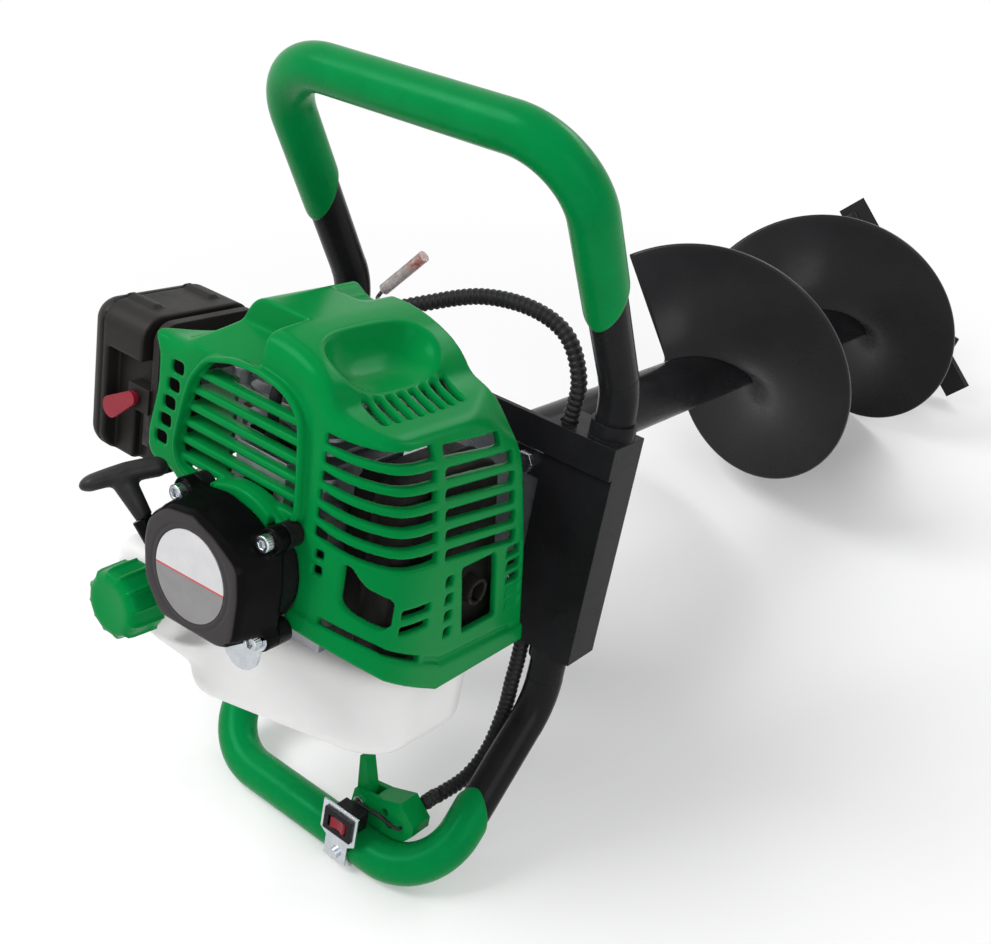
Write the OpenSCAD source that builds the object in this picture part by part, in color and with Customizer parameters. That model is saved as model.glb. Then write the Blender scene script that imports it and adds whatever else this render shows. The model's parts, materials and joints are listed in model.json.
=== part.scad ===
// Petrol earth auger: engine, gearbox, two looped handles and a screw auger.
// Built in the machine's own axes: X to the muffler side, Y along the crank and auger axis from the
// starter face to the point, Z up the cylinder. place() then lays it on its lower handle and auger rim.

/* [Auger] */
// Outer diameter of the screw flight
flight_d = 250; // [150:5:300]
// Rise of the flight in one turn
flight_pitch = 293; // [200:1:340]
// Full turns of the main flight
flight_turns = 2; // [1:1:3]
// Thickness of the flight plate along the axis
flight_t = 6; // [4:0.5:10]
// Angle of the flight's first edge, from straight up towards the muffler side
flight_start_angle = -37; // [-90:1:90]
// Outer diameter of the auger tube
auger_tube_d = 48; // [40:1:60]
// Wall of the auger tube
auger_tube_wall = 4; // [2.5:0.5:8]
// Bare tube between its mouth and the flight
auger_neck = 250; // [120:5:300]
// Length of the centre point beyond the tube
point_len = 62; // [40:1:90]
// How far the cutting teeth stand out beyond the flight
tooth_overhang = 9; // [2:0.5:14]
// Thickness of the cutting teeth
tooth_t = 7; // [5:0.5:10]

/* [Handles] */
// Outer diameter of the bent handle tube
handle_tube_d = 25.4; // [20:0.2:28]
// Wall of the handle tube
handle_wall = 2; // [1.2:0.2:3]
// Outer diameter of the slip-on grip
grip_d = 29.6; // [28.6:0.2:34]
// Centre of the upper handle's legs from the middle plane
upper_half_w = 114; // [108:1:116]
// Centre of the lower handle's legs from the middle plane
lower_half_w = 106; // [106:1:110]
// Centre of the upper crossbar above the auger axis
upper_bar_h = 262; // [230:1:300]
// Centre of the lower crossbar below the auger axis
lower_bar_h = 247; // [235:1:280]
// How far the upper crossbar leans towards the starter
upper_lean = 102; // [60:1:130]
// How far the lower crossbar leans towards the starter
lower_lean = 99; // [90:1:112]
// Height of the bend in the upper legs above the brackets
upper_bend_h = 28; // [28:1:40]
// Depth of the bend in the lower legs below the brackets
lower_bend_h = 48; // [38:1:54]
// Bend radius at the corners of the loops
corner_r = 46; // [35:1:60]
// Bend radius at the foot of the legs
foot_bend_r = 55; // [40:1:60]
// Length of upper leg that the grip covers, down from the corner
upper_grip_leg = 120; // [90:1:140]
// Length of lower leg that the grip covers, up from the corner
lower_grip_leg = 76; // [60:1:90]

/* [Side brackets] */
// Inner face of each bracket from the middle plane
bracket_in = 77; // [76:0.5:78]
// Width of each bracket along the machine
bracket_w = 31; // [31:1:44]
// Top of the brackets above the auger axis
bracket_top = 76; // [74:1:80]
// Bottom of the brackets below the auger axis
bracket_bottom = 86; // [82:1:98]
// Sheet thickness of the brackets
bracket_t = 2.5; // [2:0.25:2.5]
// Height of the collars that hold the handle tubes
collar_h = 10; // [6:1:10]
// Height of the strap that joins the brackets
strap_h = 22; // [16:1:26]
// Thickness of that strap
strap_t = 4; // [3:0.5:5]
// Distance of the gearbox bolts from the middle plane
ear_x = 66; // [64:0.5:67]
// Distance of the gearbox bolts above and below the auger axis
ear_z = 42; // [40:1:44]
// Thread diameter of the gearbox bolts
ear_bolt_d = 8; // [6:1:8]

/* [Drive] */
// Module of the reduction gears
gear_module = 1; // [0.9:0.05:1]
// Teeth of both pinions
pinion_teeth = 12; // [12:1:14]
// Teeth of both large gears
wheel_teeth = 60; // [54:1:60]
// Play between the flanks of meshing teeth
gear_play = 0.16; // [0.1:0.02:0.24]
// Face width of the first large gear
first_gear_w = 12; // [8:1:14]
// Face width of the second large gear
second_gear_w = 16; // [12:1:18]
// Diameter of the output shaft
output_shaft_d = 20; // [18:0.5:22]
// Outer diameter of the output bearings
output_bearing_d = 42; // [38:1:46]
// Width of the output bearings
output_bearing_w = 12; // [10:1:13]
// Length of shaft inside the auger tube's mouth
socket_depth = 58; // [50:1:70]
// Diameter of the pin that holds the auger on
hitch_pin_d = 8; // [6:0.5:10]
// Outer radius of the clutch drum
drum_r = 38; // [36:0.5:39]
// Wall of the clutch drum
drum_wall = 3; // [2:0.5:4]
// Diameter of the drum's shaft
drum_shaft_d = 15; // [14:0.5:16]

/* [Engine] */
// Depth of the starter from its face to the fan case
starter_len = 32; // [30:1:36]
// Depth of the fan case
fan_len = 30; // [28:1:34]
// Length of the crankcase
case_len = 74; // [72:1:80]
// Length of the clutch housing up to the gearbox joint
clutch_len = 64; // [62:1:68]
// Diameter of the crankshaft's journals
crank_d = 17; // [16:0.5:18]
// Half the piston's stroke
crank_throw = 15; // [13:0.5:16]
// Length of the connecting rod between its pins
rod_len = 52; // [50:0.5:53]
// Bore of the cylinder
cylinder_bore = 44; // [40:0.5:46]
// Top of the cylinder's head above the crank
head_h = 100; // [98:1:102]
// Half the width of the cooling fins
fin_half_w = 36; // [34:0.5:37]
// Radius of the flywheel with its fan blades
flywheel_r = 36; // [34:0.5:37]
// Across the starter's screws, side to side
screw_span_x = 72; // [70:1:74]
// Across the starter's screws, up and down
screw_span_z = 64; // [62:1:66]
// Diameter of the round plate on the starter
plate_d = 56; // [48:1:58]
// Outer diameter of the starter reel
reel_d = 56; // [48:1:58]

/* [Engine cover] */
// Wall of the moulded cover
cover_wall = 2.5; // [2:0.25:3]
// Muffler side of the cover from the middle plane
cover_side = 100; // [98:1:106]
// Left end of the cover's front from the middle plane
cover_left = 94; // [92:1:95]
// Top of the cover above the cylinder's head
cover_rise = 42; // [41:1:50]
// Lowest edge of the cover below the crank
cover_drop = 73; // [68:1:78]
// Length of the cover from its front to its open back
cover_len = 165; // [160:1:167]
// Radius of the big front corner, seen from above
cover_corner_r = 58; // [45:1:58]
// Height of the vent slots in the side
slot_h = 7; // [5:0.5:8]
// Spacing of those slots
slot_pitch = 11.2; // [10.6:0.2:12]

/* [Muffler and fuel] */
// Radius of the exhaust outlet's bore
outlet_r = 7; // [5:0.5:8]
// Length of the exhaust outlet tube
outlet_len = 12; // [9:0.5:13]
// Bottom of the tank below the crank
tank_bottom = 131; // [122:1:134]
// Diameter of the fuel cap
cap_d = 46; // [42:0.5:48]
// Depth of the fuel cap
cap_len = 24; // [20:0.5:26]
// Outer diameter of the filler neck
neck_d = 33; // [30:0.5:34]

/* [Air filter] */
// Outer face of the filter from the middle plane
filter_out = 150; // [144:1:156]
// Width of the filter cover along the machine
filter_w = 86; // [82:1:100]
// Top of the filter above the crank
filter_top = 112; // [106:1:112]
// Bottom of the filter above the crank
filter_low = 6; // [2:1:10]

/* [Controls] */
// Length of the throttle lever above its pin
lever_len = 33; // [28:1:36]
// Diameter of the lever's pin
lever_pin_d = 5; // [4:0.25:6]
// Length of the pull grip
pull_len = 54; // [46:1:56]
// Diameter of the pull grip
pull_d = 15; // [12:0.5:16]
// Outer diameter of the ribbed conduit
conduit_d = 11; // [9:0.5:12]
// Ribs along the conduit
conduit_ribs = 150; // [60:1:200]

/* [Hidden] */
$fn = 64;
// Running clearance of shafts in holes, on the radius
run = 0.05;
// Clearance between pieces that only sit against each other
seat = 0.2;
// Overshoot of cutting shapes
eps = 1;

// Places along the machine axis
fan_y = starter_len;
case_y = fan_y + fan_len;
clutch_y = case_y + case_len;
gear_y = clutch_y + clutch_len;
cyl_y = case_y + case_len / 2;
flange_t = 14;
flange_y = gear_y + 26;
gear_room = 50;
gear_back = gear_y + gear_room;
nose_len = 50;
nose_y = gear_back + nose_len;
frame_y = flange_y - bracket_t - seat + bracket_w / 2;
auger_y = nose_y + 10;
flight_y = auger_y + auger_neck;
flight_short = 10;
flight_span = 360 * flight_turns - flight_short;
flight_end = flight_y + flight_pitch * flight_span / 360;
tube_end = flight_end + 16;

// Radii and heights that several pieces share
handle_r = handle_tube_d / 2;
grip_r = grip_d / 2;
flight_r = flight_d / 2;
auger_r = auger_tube_d / 2;
output_r = output_shaft_d / 2;
pin_r = hitch_pin_d / 2;
crank_r = crank_d / 2;
bore_r = cylinder_bore / 2;
deck_h = 38;
fan_r = flywheel_r + 6;
sump_h = 62;
cover_y = fan_y + 10;
cover_back = cover_y + cover_len;
filter_y = cover_y + cover_wall + 0.5;
conduit_r = conduit_d / 2;
grip_slack = 0.4;

// Handle crossbars
upper_bar_y = frame_y - upper_lean;
lower_bar_y = frame_y - lower_lean;
lower_bar_z = -lower_bar_h;

// The smallest tilt that brings the flight's rim or a corner of a cutting tooth down to the floor
// under the lower crossbar
rim_turns = floor(flight_turns - (180 - flight_start_angle + flight_short) / 360);
function rim_y(lead) = flight_y + flight_pitch * ((180 - flight_start_angle + lead) / 360 + rim_turns);
function tilt_to(y, z) = let (reach = y - lower_bar_y, rise = z - lower_bar_z)
    atan2(rise, reach) + asin(grip_r / norm([reach, rise]));
rim_lead = asin(tan(tilt_to(rim_y(0), -flight_r)) * flight_pitch / (2 * PI * flight_r));
tooth_slope = atan(flight_pitch / (2 * PI * flight_r));
tooth_turn = flight_start_angle - flight_short;
tooth_half = 16.5;
tooth_root = flight_r * 0.4;
tooth_tip = flight_r + tooth_overhang;
tooth_low = flight_t / 2 + 0.1;
tooth_y = [tooth_low, tooth_low + tooth_t];
function tooth_corner(turn, x, y) = let (
    across = x * cos(tooth_slope) - y * sin(tooth_slope))
    [flight_end + x * sin(tooth_slope) + y * cos(tooth_slope), tooth_tip * cos(turn) - across * sin(turn)];
tooth_tilts = [for (half = [0, 180], x = [-tooth_half, tooth_half], y = tooth_y)
    let (c = tooth_corner(tooth_turn + half, x, y)) tilt_to(c[0], c[1])];
tilt = min(concat([tilt_to(rim_y(rim_lead), -flight_r * cos(rim_lead))], tooth_tilts));

module place() {
    translate([0, 0, grip_r])
        rotate([-tilt, 0, 0])
            translate([0, -lower_bar_y, -lower_bar_z])
                children();
}

// Vectors and frames
function unit(v) = v / norm(v);
function side_of(u) = abs(u.z) < 0.9 ? unit(cross([0, 0, 1], u)) : unit(cross([1, 0, 0], u));
function frame(ex, ey, ez, p) = [
    [ex.x, ey.x, ez.x, p.x], [ex.y, ey.y, ez.y, p.y], [ex.z, ey.z, ez.z, p.z], [0, 0, 0, 1]];
function arc(c, r, a0, a1, n = 8) = [for (i = [0 : n])
    let (a = a0 + (a1 - a0) * i / n) c + r * [cos(a), sin(a)]];
function round_rect(x0, x1, z0, z1, r) = concat(
    arc([x1 - r, z1 - r], r, 0, 90), arc([x0 + r, z1 - r], r, 90, 180),
    arc([x0 + r, z0 + r], r, 180, 270), arc([x1 - r, z0 + r], r, 270, 360));

// A block between two corners
module block(low, high) {
    translate(low) cube(high - low);
}

// A profile drawn in X and Z, run from y0 to y1
module along_y(y0, y1) {
    translate([0, y1, 0]) rotate([90, 0, 0]) linear_extrude(y1 - y0) children();
}

// A profile drawn in Y and Z, run from x0 to x1
module along_x(x0, x1) {
    translate([x0, 0, 0]) rotate([90, 0, 90]) linear_extrude(x1 - x0) children();
}

module rod_y(r, y0, y1, x = 0, z = 0) {
    translate([x, y1, z]) rotate([90, 0, 0]) cylinder(r = r, h = y1 - y0);
}

module rod_x(r, x0, x1, y = 0, z = 0) {
    translate([x0, y, z]) rotate([0, 90, 0]) cylinder(r = r, h = x1 - x0);
}

module rod_z(r, z0, z1, x = 0, y = 0) {
    translate([x, y, z0]) cylinder(r = r, h = z1 - z0);
}

module ring_y(r_out, r_in, y0, y1, x = 0, z = 0) {
    difference() {
        rod_y(r_out, y0, y1, x, z);
        rod_y(r_in, y0 - eps, y1 + eps, x, z);
    }
}

// A straight rod between two points
module rod(p, q, r) {
    u = unit(q - p);
    s = side_of(u);
    multmatrix(frame(s, cross(u, s), u, p)) cylinder(r = r, h = norm(q - p));
}

// A round bar or tube along corner points, with a circular bend at each inner corner. The straight
// runs end a little inside the bends, and the bends are a hair thicker, so the pieces join cleanly.
bend_step = 0.15;
function bend_lap(radius) = min(0.5, radius / 8);
function bend_cut(a, b, c, radius) = radius * tan(acos(unit(b - a) * unit(c - b)) / 2);
module bent_tube(points, radii, r_out, r_in) {
    last = len(points) - 1;
    cuts = [for (i = [0 : last]) i == 0 || i == last ? 0
        : bend_cut(points[i - 1], points[i], points[i + 1], radii[i - 1]) - bend_lap(radii[i - 1])];
    for (i = [0 : last - 1]) {
        u = unit(points[i + 1] - points[i]);
        s = side_of(u);
        run_len = norm(points[i + 1] - points[i]) - cuts[i] - cuts[i + 1];
        multmatrix(frame(s, cross(u, s), u, points[i] + u * cuts[i])) linear_extrude(run_len)
            ring_profile(r_out, r_in);
    }
    for (i = [1 : last - 1]) {
        u = unit(points[i] - points[i - 1]);
        v = unit(points[i + 1] - points[i]);
        inward = unit(v - (u * v) * u);
        start = points[i] - u * (cuts[i] + bend_lap(radii[i - 1]));
        multmatrix(frame(-inward, u, cross(-inward, u), start + inward * radii[i - 1]))
            rotate_extrude(angle = acos(u * v)) translate([radii[i - 1], 0])
                ring_profile(r_out + bend_step, r_in > 0 ? r_in - bend_step : 0);
    }
}

module ring_profile(r_out, r_in) {
    difference() {
        circle(r_out);
        if (r_in > 0) circle(r_in);
    }
}

module bent_rod(points, radii, r) {
    bent_tube(points, radii, r, 0);
}

// Involute spur gear outline
pressure = 25;
function involute(a) = tan(a) * 180 / PI - a;
function half_tooth(r, teeth) = let (
    base = gear_module * teeth / 2 * cos(pressure),
    a = acos(min(1, base / max(r, base))))
    90 / teeth + involute(pressure) - involute(a) - gear_play / (gear_module * teeth) * 90 / PI;
function gear_points(teeth, turn = 0) = let (
    pitch_r = gear_module * teeth / 2,
    tip_r = pitch_r + gear_module,
    root_r = pitch_r - 1.25 * gear_module,
    flank_r = max(root_r, pitch_r * cos(pressure)),
    radii = concat([root_r], [for (i = [0 : 4]) flank_r + (tip_r - flank_r) * i / 4]))
    [for (t = [0 : teeth - 1], side = [-1, 1], i = [0 : 5]) let (
        r = side < 0 ? radii[i] : radii[5 - i],
        a = turn + t * 360 / teeth + side * half_tooth(r, teeth))
        r * [cos(a), sin(a)]];
gear_gap = gear_module * (pinion_teeth + wheel_teeth) / 2;
lay_z = -gear_gap;
wheel_tip = gear_module * (wheel_teeth / 2 + 1);
pinion_tip = gear_module * (pinion_teeth / 2 + 1);

// Side brackets: a welded box of sheet that takes the handle tubes and the conduit
bracket_out = upper_half_w + handle_r + seat + bracket_t;
bracket_y0 = frame_y - bracket_w / 2;
bracket_y1 = frame_y + bracket_w / 2;
conduit_x = bracket_in + bracket_t + conduit_r + 1;
conduit_y = bracket_y0 + bracket_t + conduit_r + 0.6;
collar_t = 2.2;
tube_depth = 34;
tab_h = 18;

module side_bracket() {
    difference() {
        union() {
            block([bracket_in, bracket_y0, -bracket_bottom], [bracket_out, bracket_y1, bracket_top]);
            rod_z(handle_r + collar_t, bracket_top - eps, bracket_top + collar_h, upper_half_w, frame_y);
            rod_z(handle_r + collar_t, -bracket_bottom - collar_h, eps - bracket_bottom, lower_half_w,
                frame_y);
            for (z = [-ear_z, ear_z])
                block([ear_x - tab_h / 2, bracket_y0, z - tab_h / 2],
                      [bracket_in + bracket_t, bracket_y0 + bracket_t, z + tab_h / 2]);
        }
        block([bracket_in + bracket_t, bracket_y0 + bracket_t, bracket_t - bracket_bottom],
              [bracket_out - bracket_t, bracket_y1 - bracket_t, bracket_top - bracket_t]);
        rod_z(handle_r + run, 0, bracket_top + collar_h + eps, upper_half_w, frame_y);
        rod_z(handle_r + run, -bracket_bottom - collar_h - eps, 0, lower_half_w, frame_y);
        rod_z(conduit_r + 0.5, -bracket_bottom - eps, bracket_top + eps, conduit_x, conduit_y);
        for (z = [-ear_z, ear_z])
            rod_y(ear_bolt_d / 2 + seat, bracket_y0 - eps, bracket_y0 + bracket_t + eps, ear_x, z);
    }
}

module side_bracket_right() {
    color("#1b1b1c") place() side_bracket();
}

module side_bracket_left() {
    color("#1b1b1c") place() mirror([1, 0, 0]) side_bracket();
}

// Flat strap across the front of both brackets
module cross_strap() {
    color("#161617") place()
        block([-bracket_out, bracket_y0 - strap_t, bracket_top - strap_h],
              [bracket_out, bracket_y0, bracket_top]);
}

// Handle loops
function loop_points(half_w, root_z, bend_z, bar_y, bar_z) = let (
    right = [[half_w, frame_y, root_z], [half_w, frame_y, bend_z], [half_w, bar_y, bar_z]])
    concat(right, [for (i = [2 : -1 : 0]) [-right[i].x, right[i].y, right[i].z]]);
loop_radii = [foot_bend_r, corner_r, corner_r, foot_bend_r];
upper_loop = loop_points(upper_half_w, bracket_top - tube_depth, bracket_top + upper_bend_h,
    upper_bar_y, upper_bar_h);
lower_loop = loop_points(lower_half_w, tube_depth - bracket_bottom, -bracket_bottom - lower_bend_h,
    lower_bar_y, lower_bar_z);
function grip_points(loop, leg) = let (
    down = unit(loop[1] - loop[2]),
    end = loop[2] + down * leg)
    [end, loop[2], loop[3], [-end.x, end.y, end.z]];

module upper_handle_tube() {
    color("#1a1a1b") place() bent_tube(upper_loop, loop_radii, handle_r, handle_r - handle_wall);
}

module lower_handle_tube() {
    color("#1a1a1b") place() bent_tube(lower_loop, loop_radii, handle_r, handle_r - handle_wall);
}

module upper_grip() {
    color("#0b8a3c") place()
        bent_tube(grip_points(upper_loop, upper_grip_leg), [corner_r, corner_r], grip_r,
            handle_r + grip_slack);
}

module lower_grip() {
    color("#0b8a3c") place()
        bent_tube(grip_points(lower_loop, lower_grip_leg), [corner_r, corner_r], grip_r,
            handle_r + grip_slack);
}

// Gearbox: a reverted two-stage train, the layshaft below the axis
gear_wall = 6;
room_r = wheel_tip + 3;
lay_bearing = [5, 13, 8];
drum_bearing = [drum_shaft_d / 2, 16, 10];
first_y = gear_y + 8;
second_y = first_y + first_gear_w + 8;

module train_outline(r) {
    circle(r);
    translate([0, lay_z]) circle(r);
    translate([-r, lay_z]) square([2 * r, gear_gap]);
}

module gearbox_housing() {
    color("#9a9c9e") place() difference() {
        union() {
            along_y(gear_y, gear_back + gear_wall) train_outline(room_r + gear_wall);
            along_y(flange_y, flange_y + flange_t)
                polygon(round_rect(-ear_x - 10, ear_x + 10, -ear_z - 10, ear_z + 10, 10));
            rod_y(output_bearing_d / 2 + gear_wall, gear_back, nose_y);
            rod_y(lay_bearing[1] + gear_wall, gear_back, gear_back + lay_bearing[2] + gear_wall, 0, lay_z);
        }
        along_y(gear_y - eps, gear_back) train_outline(room_r);
        rod_y(output_r + 2, gear_y, nose_y + eps);
        rod_y(output_bearing_d / 2 + run, gear_back - eps, gear_back + output_bearing_w);
        rod_y(output_bearing_d / 2 + run, nose_y - output_bearing_w, nose_y + eps);
        rod_y(lay_bearing[1] + run, gear_back - eps, gear_back + lay_bearing[2], 0, lay_z);
        for (x = [-ear_x, ear_x], z = [-ear_z, ear_z])
            rod_y(ear_bolt_d / 2 + run, flange_y - eps, flange_y + flange_t + eps, x, z);
    }
}

// Bell housing that joins the crankcase to the gearbox and closes its front
bell_r = 45;
plate_t = 12;
bell_room = 34;

module clutch_housing() {
    color("#8f9193") place() difference() {
        union() {
            rod_y(bell_r, clutch_y, gear_y - plate_t);
            along_y(gear_y - plate_t, gear_y) train_outline(room_r + gear_wall);
        }
        rod_y(drum_r + 3, clutch_y - eps, clutch_y + bell_room);
        rod_y(drum_bearing[0] + 2, clutch_y, gear_y + eps);
        rod_y(drum_bearing[1] + run, gear_y - drum_bearing[2], gear_y + eps);
        rod_y(lay_bearing[1] + run, gear_y - lay_bearing[2], gear_y + eps, 0, lay_z);
    }
}

module hex_bolt(r, head_r, head_h, y0, y1, x, z) {
    rod_y(r, y0 - eps, y1, x, z);
    translate([x, y0, z]) rotate([90, 0, 0]) cylinder(r = head_r, h = head_h, $fn = 6);
}

module gearbox_bolts() {
    color("#b9bbbd") place()
        for (x = [-ear_x, ear_x], z = [-ear_z, ear_z])
            hex_bolt(ear_bolt_d / 2, 7.5, 5.5, bracket_y0, flange_y + flange_t, x, z);
}

module gearbox_bearings() {
    color("#c9cbce") place() {
        for (y = [gear_back, nose_y - output_bearing_w])
            ring_y(output_bearing_d / 2, output_r + run, y, y + output_bearing_w);
        ring_y(drum_bearing[1], drum_bearing[0] + run, gear_y - drum_bearing[2], gear_y);
        for (y = [gear_y - lay_bearing[2], gear_back])
            ring_y(lay_bearing[1], lay_bearing[0] + run, y, y + lay_bearing[2], 0, lay_z);
    }
}

module spur(teeth, y0, y1, turn, z = 0) {
    translate([0, 0, z]) along_y(y0, y1) polygon(gear_points(teeth, turn));
}

// Clutch bell with the first pinion on its shaft; a tooth points down at the layshaft
shoe_y = clutch_y + 6;
shoe_w = 14;

module clutch_drum() {
    color("#8d9096") place() {
        ring_y(drum_r, drum_r - drum_wall, shoe_y - 2, shoe_y + shoe_w + 4);
        rod_y(drum_r, shoe_y + shoe_w + 4, shoe_y + shoe_w + 4 + drum_wall);
        rod_y(drum_bearing[0], shoe_y + shoe_w + 4, first_y - 2);
        spur(pinion_teeth, first_y - 2, first_y + first_gear_w + 1, 270);
    }
}

module clutch_shoes() {
    color("#6f7277") place() difference() {
        union() {
            ring_y(drum_r - drum_wall - 1, drum_r - drum_wall - 9, shoe_y, shoe_y + shoe_w);
            block([-9, shoe_y, 10 - drum_r], [9, shoe_y + shoe_w, drum_r - 10]);
        }
        rod_y(crank_r + run, shoe_y - eps, shoe_y + shoe_w + eps);
        for (side = [-1, 1])
            block([side * drum_r * 0.75 - drum_r / 4, shoe_y - eps, -1.5],
                  [side * drum_r * 0.75 + drum_r / 4, shoe_y + shoe_w + eps, 1.5]);
    }
}

// Layshaft with the first wheel and the second pinion in one piece; a gap of the wheel faces up
module layshaft_gear() {
    color("#a3a6aa") place() {
        rod_y(lay_bearing[0], gear_y - lay_bearing[2], first_y, 0, lay_z);
        spur(wheel_teeth, first_y, first_y + first_gear_w, 90 + 180 / wheel_teeth, lay_z);
        spur(pinion_teeth, first_y + first_gear_w, second_y + second_gear_w + 1, 90, lay_z);
        rod_y(lay_bearing[0], second_y + second_gear_w + 1, gear_back + lay_bearing[2], 0, lay_z);
    }
}

module output_gear() {
    color("#a3a6aa") place() difference() {
        spur(wheel_teeth, second_y, second_y + second_gear_w, 270 + 180 / wheel_teeth);
        rod_y(output_r + run, second_y - eps, second_y + second_gear_w + eps);
    }
}

pin_y = auger_y + socket_depth * 0.6;

module output_shaft() {
    color("#aeb1b5") place() difference() {
        rod_y(output_r, second_y - 2, auger_y + socket_depth);
        rod_x(pin_r + run, -output_r - eps, output_r + eps, pin_y);
    }
}

// Auger: tube with a solid mouth, the flight, the teeth and the point
hub_len = socket_depth + 8;

module auger_tube() {
    color("#141415") place() difference() {
        rod_y(auger_r, auger_y, tube_end);
        rod_y(output_r + run, auger_y - eps, auger_y + socket_depth + eps);
        rod_y(auger_r - auger_tube_wall, auger_y + hub_len, tube_end + eps);
        rod_x(pin_r + run, -auger_r - eps, auger_r + eps, pin_y);
    }
}

module hitch_pin() {
    color("#b4b6b8") place() {
        rod_x(pin_r, -auger_r - 9, auger_r + 2, pin_y);
        rod_x(pin_r + 3, auger_r + 2, auger_r + 7, pin_y);
    }
}

flight_step = 10;
function flight_ring(angle, y, r) = let (d = [sin(angle), 0, cos(angle)]) [
    for (e = [[auger_r + seat, -1], [r, -1], [r, 1], [auger_r + seat, 1]])
        d * e[0] + [0, y + e[1] * flight_t / 2, 0]];
module helix(angle1, span, r) {
    steps = round(span / flight_step);
    points = [for (i = [0 : steps]) let (back = span - i * flight_step)
        each flight_ring(angle1 - back, flight_end - flight_pitch * back / 360, r)];
    sides = [for (i = [0 : steps - 1], k = [0 : 3]) let (
        a = 4 * i + k,
        b = 4 * i + (k + 1) % 4)
        each [[a, b, b + 4], [a, b + 4, a + 4]]];
    n = 4 * steps;
    polyhedron(points, concat(sides, [[0, 2, 1], [0, 3, 2], [n, n + 1, n + 2], [n, n + 2, n + 3]]));
}

// The flight, and a short stub opposite its end that carries the second tooth
stub_r = flight_r * 0.72;
stub_span = 30;
module auger_flight() {
    color("#121213") place() {
        helix(tooth_turn, flight_span, flight_r);
        helix(tooth_turn + 180, stub_span, stub_r);
    }
}

module auger_blades() {
    color("#1d1d1f") place()
        for (half = [0, 180])
            translate([0, flight_end, 0]) rotate([0, tooth_turn + half, 0]) rotate([0, 0, tooth_slope])
                block([-tooth_half, tooth_y[0], tooth_root], [tooth_half, tooth_y[1], tooth_tip]);
}

module auger_point() {
    color("#1d1d1f") place() {
        rod_y(auger_r - auger_tube_wall - run, tube_end - 24, tube_end);
        rod_y(auger_r, tube_end, tube_end + 8);
        translate([0, tube_end + 8, 0]) rotate([-90, 0, 0]) cylinder(r1 = auger_r, r2 = 3, h = point_len);
    }
}

// Crankcase with feet that stand on the tank
web_r = 32;
web_y = [cyl_y - 15, cyl_y + 7];
web_w = 8;
crank_bearing_r = 20;
crank_bearing_w = 12;
case_half_w = 44;
bolt_reach = 24;
bolt_r = 3;
flange_h = 8;

module crankcase() {
    color("#7d8083") place() difference() {
        union() {
            along_y(case_y, clutch_y)
                polygon(round_rect(-case_half_w, case_half_w, -46, deck_h, 12));
            for (x = [-1, 1])
                block([x * 26 - 12, case_y + 12, -sump_h], [x * 26 + 12, clutch_y - 12, -40]);
        }
        rod_y(web_r + 2, web_y[0] - 2, web_y[1] + web_w + 2);
        for (y = [web_y[0] - 2 - crank_bearing_w, web_y[1] + web_w + 2])
            rod_y(crank_bearing_r + run, y, y + crank_bearing_w);
        rod_y(crank_r + 2, case_y - eps, clutch_y + eps);
        rod_z(bore_r + 1, 0, deck_h + eps, 0, cyl_y);
        for (x = [-bolt_reach, bolt_reach], y = [-bolt_reach, bolt_reach])
            rod_z(bolt_r + run, deck_h - 9, deck_h + eps, x, cyl_y + y);
    }
}

module crank_bearings() {
    color("#c9cbce") place()
        for (y = [web_y[0] - 2 - crank_bearing_w, web_y[1] + web_w + 2])
            ring_y(crank_bearing_r, crank_r + run, y, y + crank_bearing_w);
}

crank_pin_r = 8;
module crankshaft() {
    color("#8f9297") place() {
        rod_y(crank_r, fan_y + 2, web_y[0] + eps);
        rod_y(crank_r, web_y[1] + web_w - eps, shoe_y + shoe_w);
        for (y = web_y)
            rod_y(web_r, y, y + web_w);
        rod_y(crank_pin_r, web_y[0] + web_w - eps, web_y[1] + eps, 0, crank_throw);
    }
}

wrist_z = crank_throw + rod_len;
wrist_r = 5;
rod_w = 12;
module connecting_rod() {
    color("#94979b") place() difference() {
        union() {
            rod_y(crank_pin_r + 5, cyl_y - rod_w / 2, cyl_y + rod_w / 2, 0, crank_throw);
            rod_y(wrist_r + 4, cyl_y - rod_w / 2, cyl_y + rod_w / 2, 0, wrist_z);
            block([-4, cyl_y - 3, crank_throw + crank_pin_r + 2], [4, cyl_y + 3, wrist_z - wrist_r - 2]);
        }
        rod_y(crank_pin_r + run, cyl_y - rod_w, cyl_y + rod_w, 0, crank_throw);
        rod_y(wrist_r + run, cyl_y - rod_w, cyl_y + rod_w, 0, wrist_z);
    }
}

// Piston with its wrist pin
skirt = 15;
crown = 16;
module piston() {
    color("#b3b5b7") place() {
        difference() {
            rod_z(bore_r - 0.1, wrist_z - skirt, wrist_z + crown, 0, cyl_y);
            rod_z(bore_r - 3.5, wrist_z - skirt - eps, wrist_z + crown - 5, 0, cyl_y);
        }
        intersection() {
            rod_y(wrist_r, cyl_y - bore_r, cyl_y + bore_r, 0, wrist_z);
            rod_z(bore_r - 1, wrist_z - skirt, wrist_z + crown, 0, cyl_y);
        }
    }
}

// Finned cylinder with its inlet and exhaust bosses
port_z = 54;
port_r = 9;
inlet_x = 38;
exhaust_x = 46;
fin_count = 6;
fin_t = 2.5;
fin_pitch = (head_h - deck_h - flange_h - 8 - fin_t) / (fin_count - 1);
chamber_z = wrist_z + crown + 3;
plug_r = 7;

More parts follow.
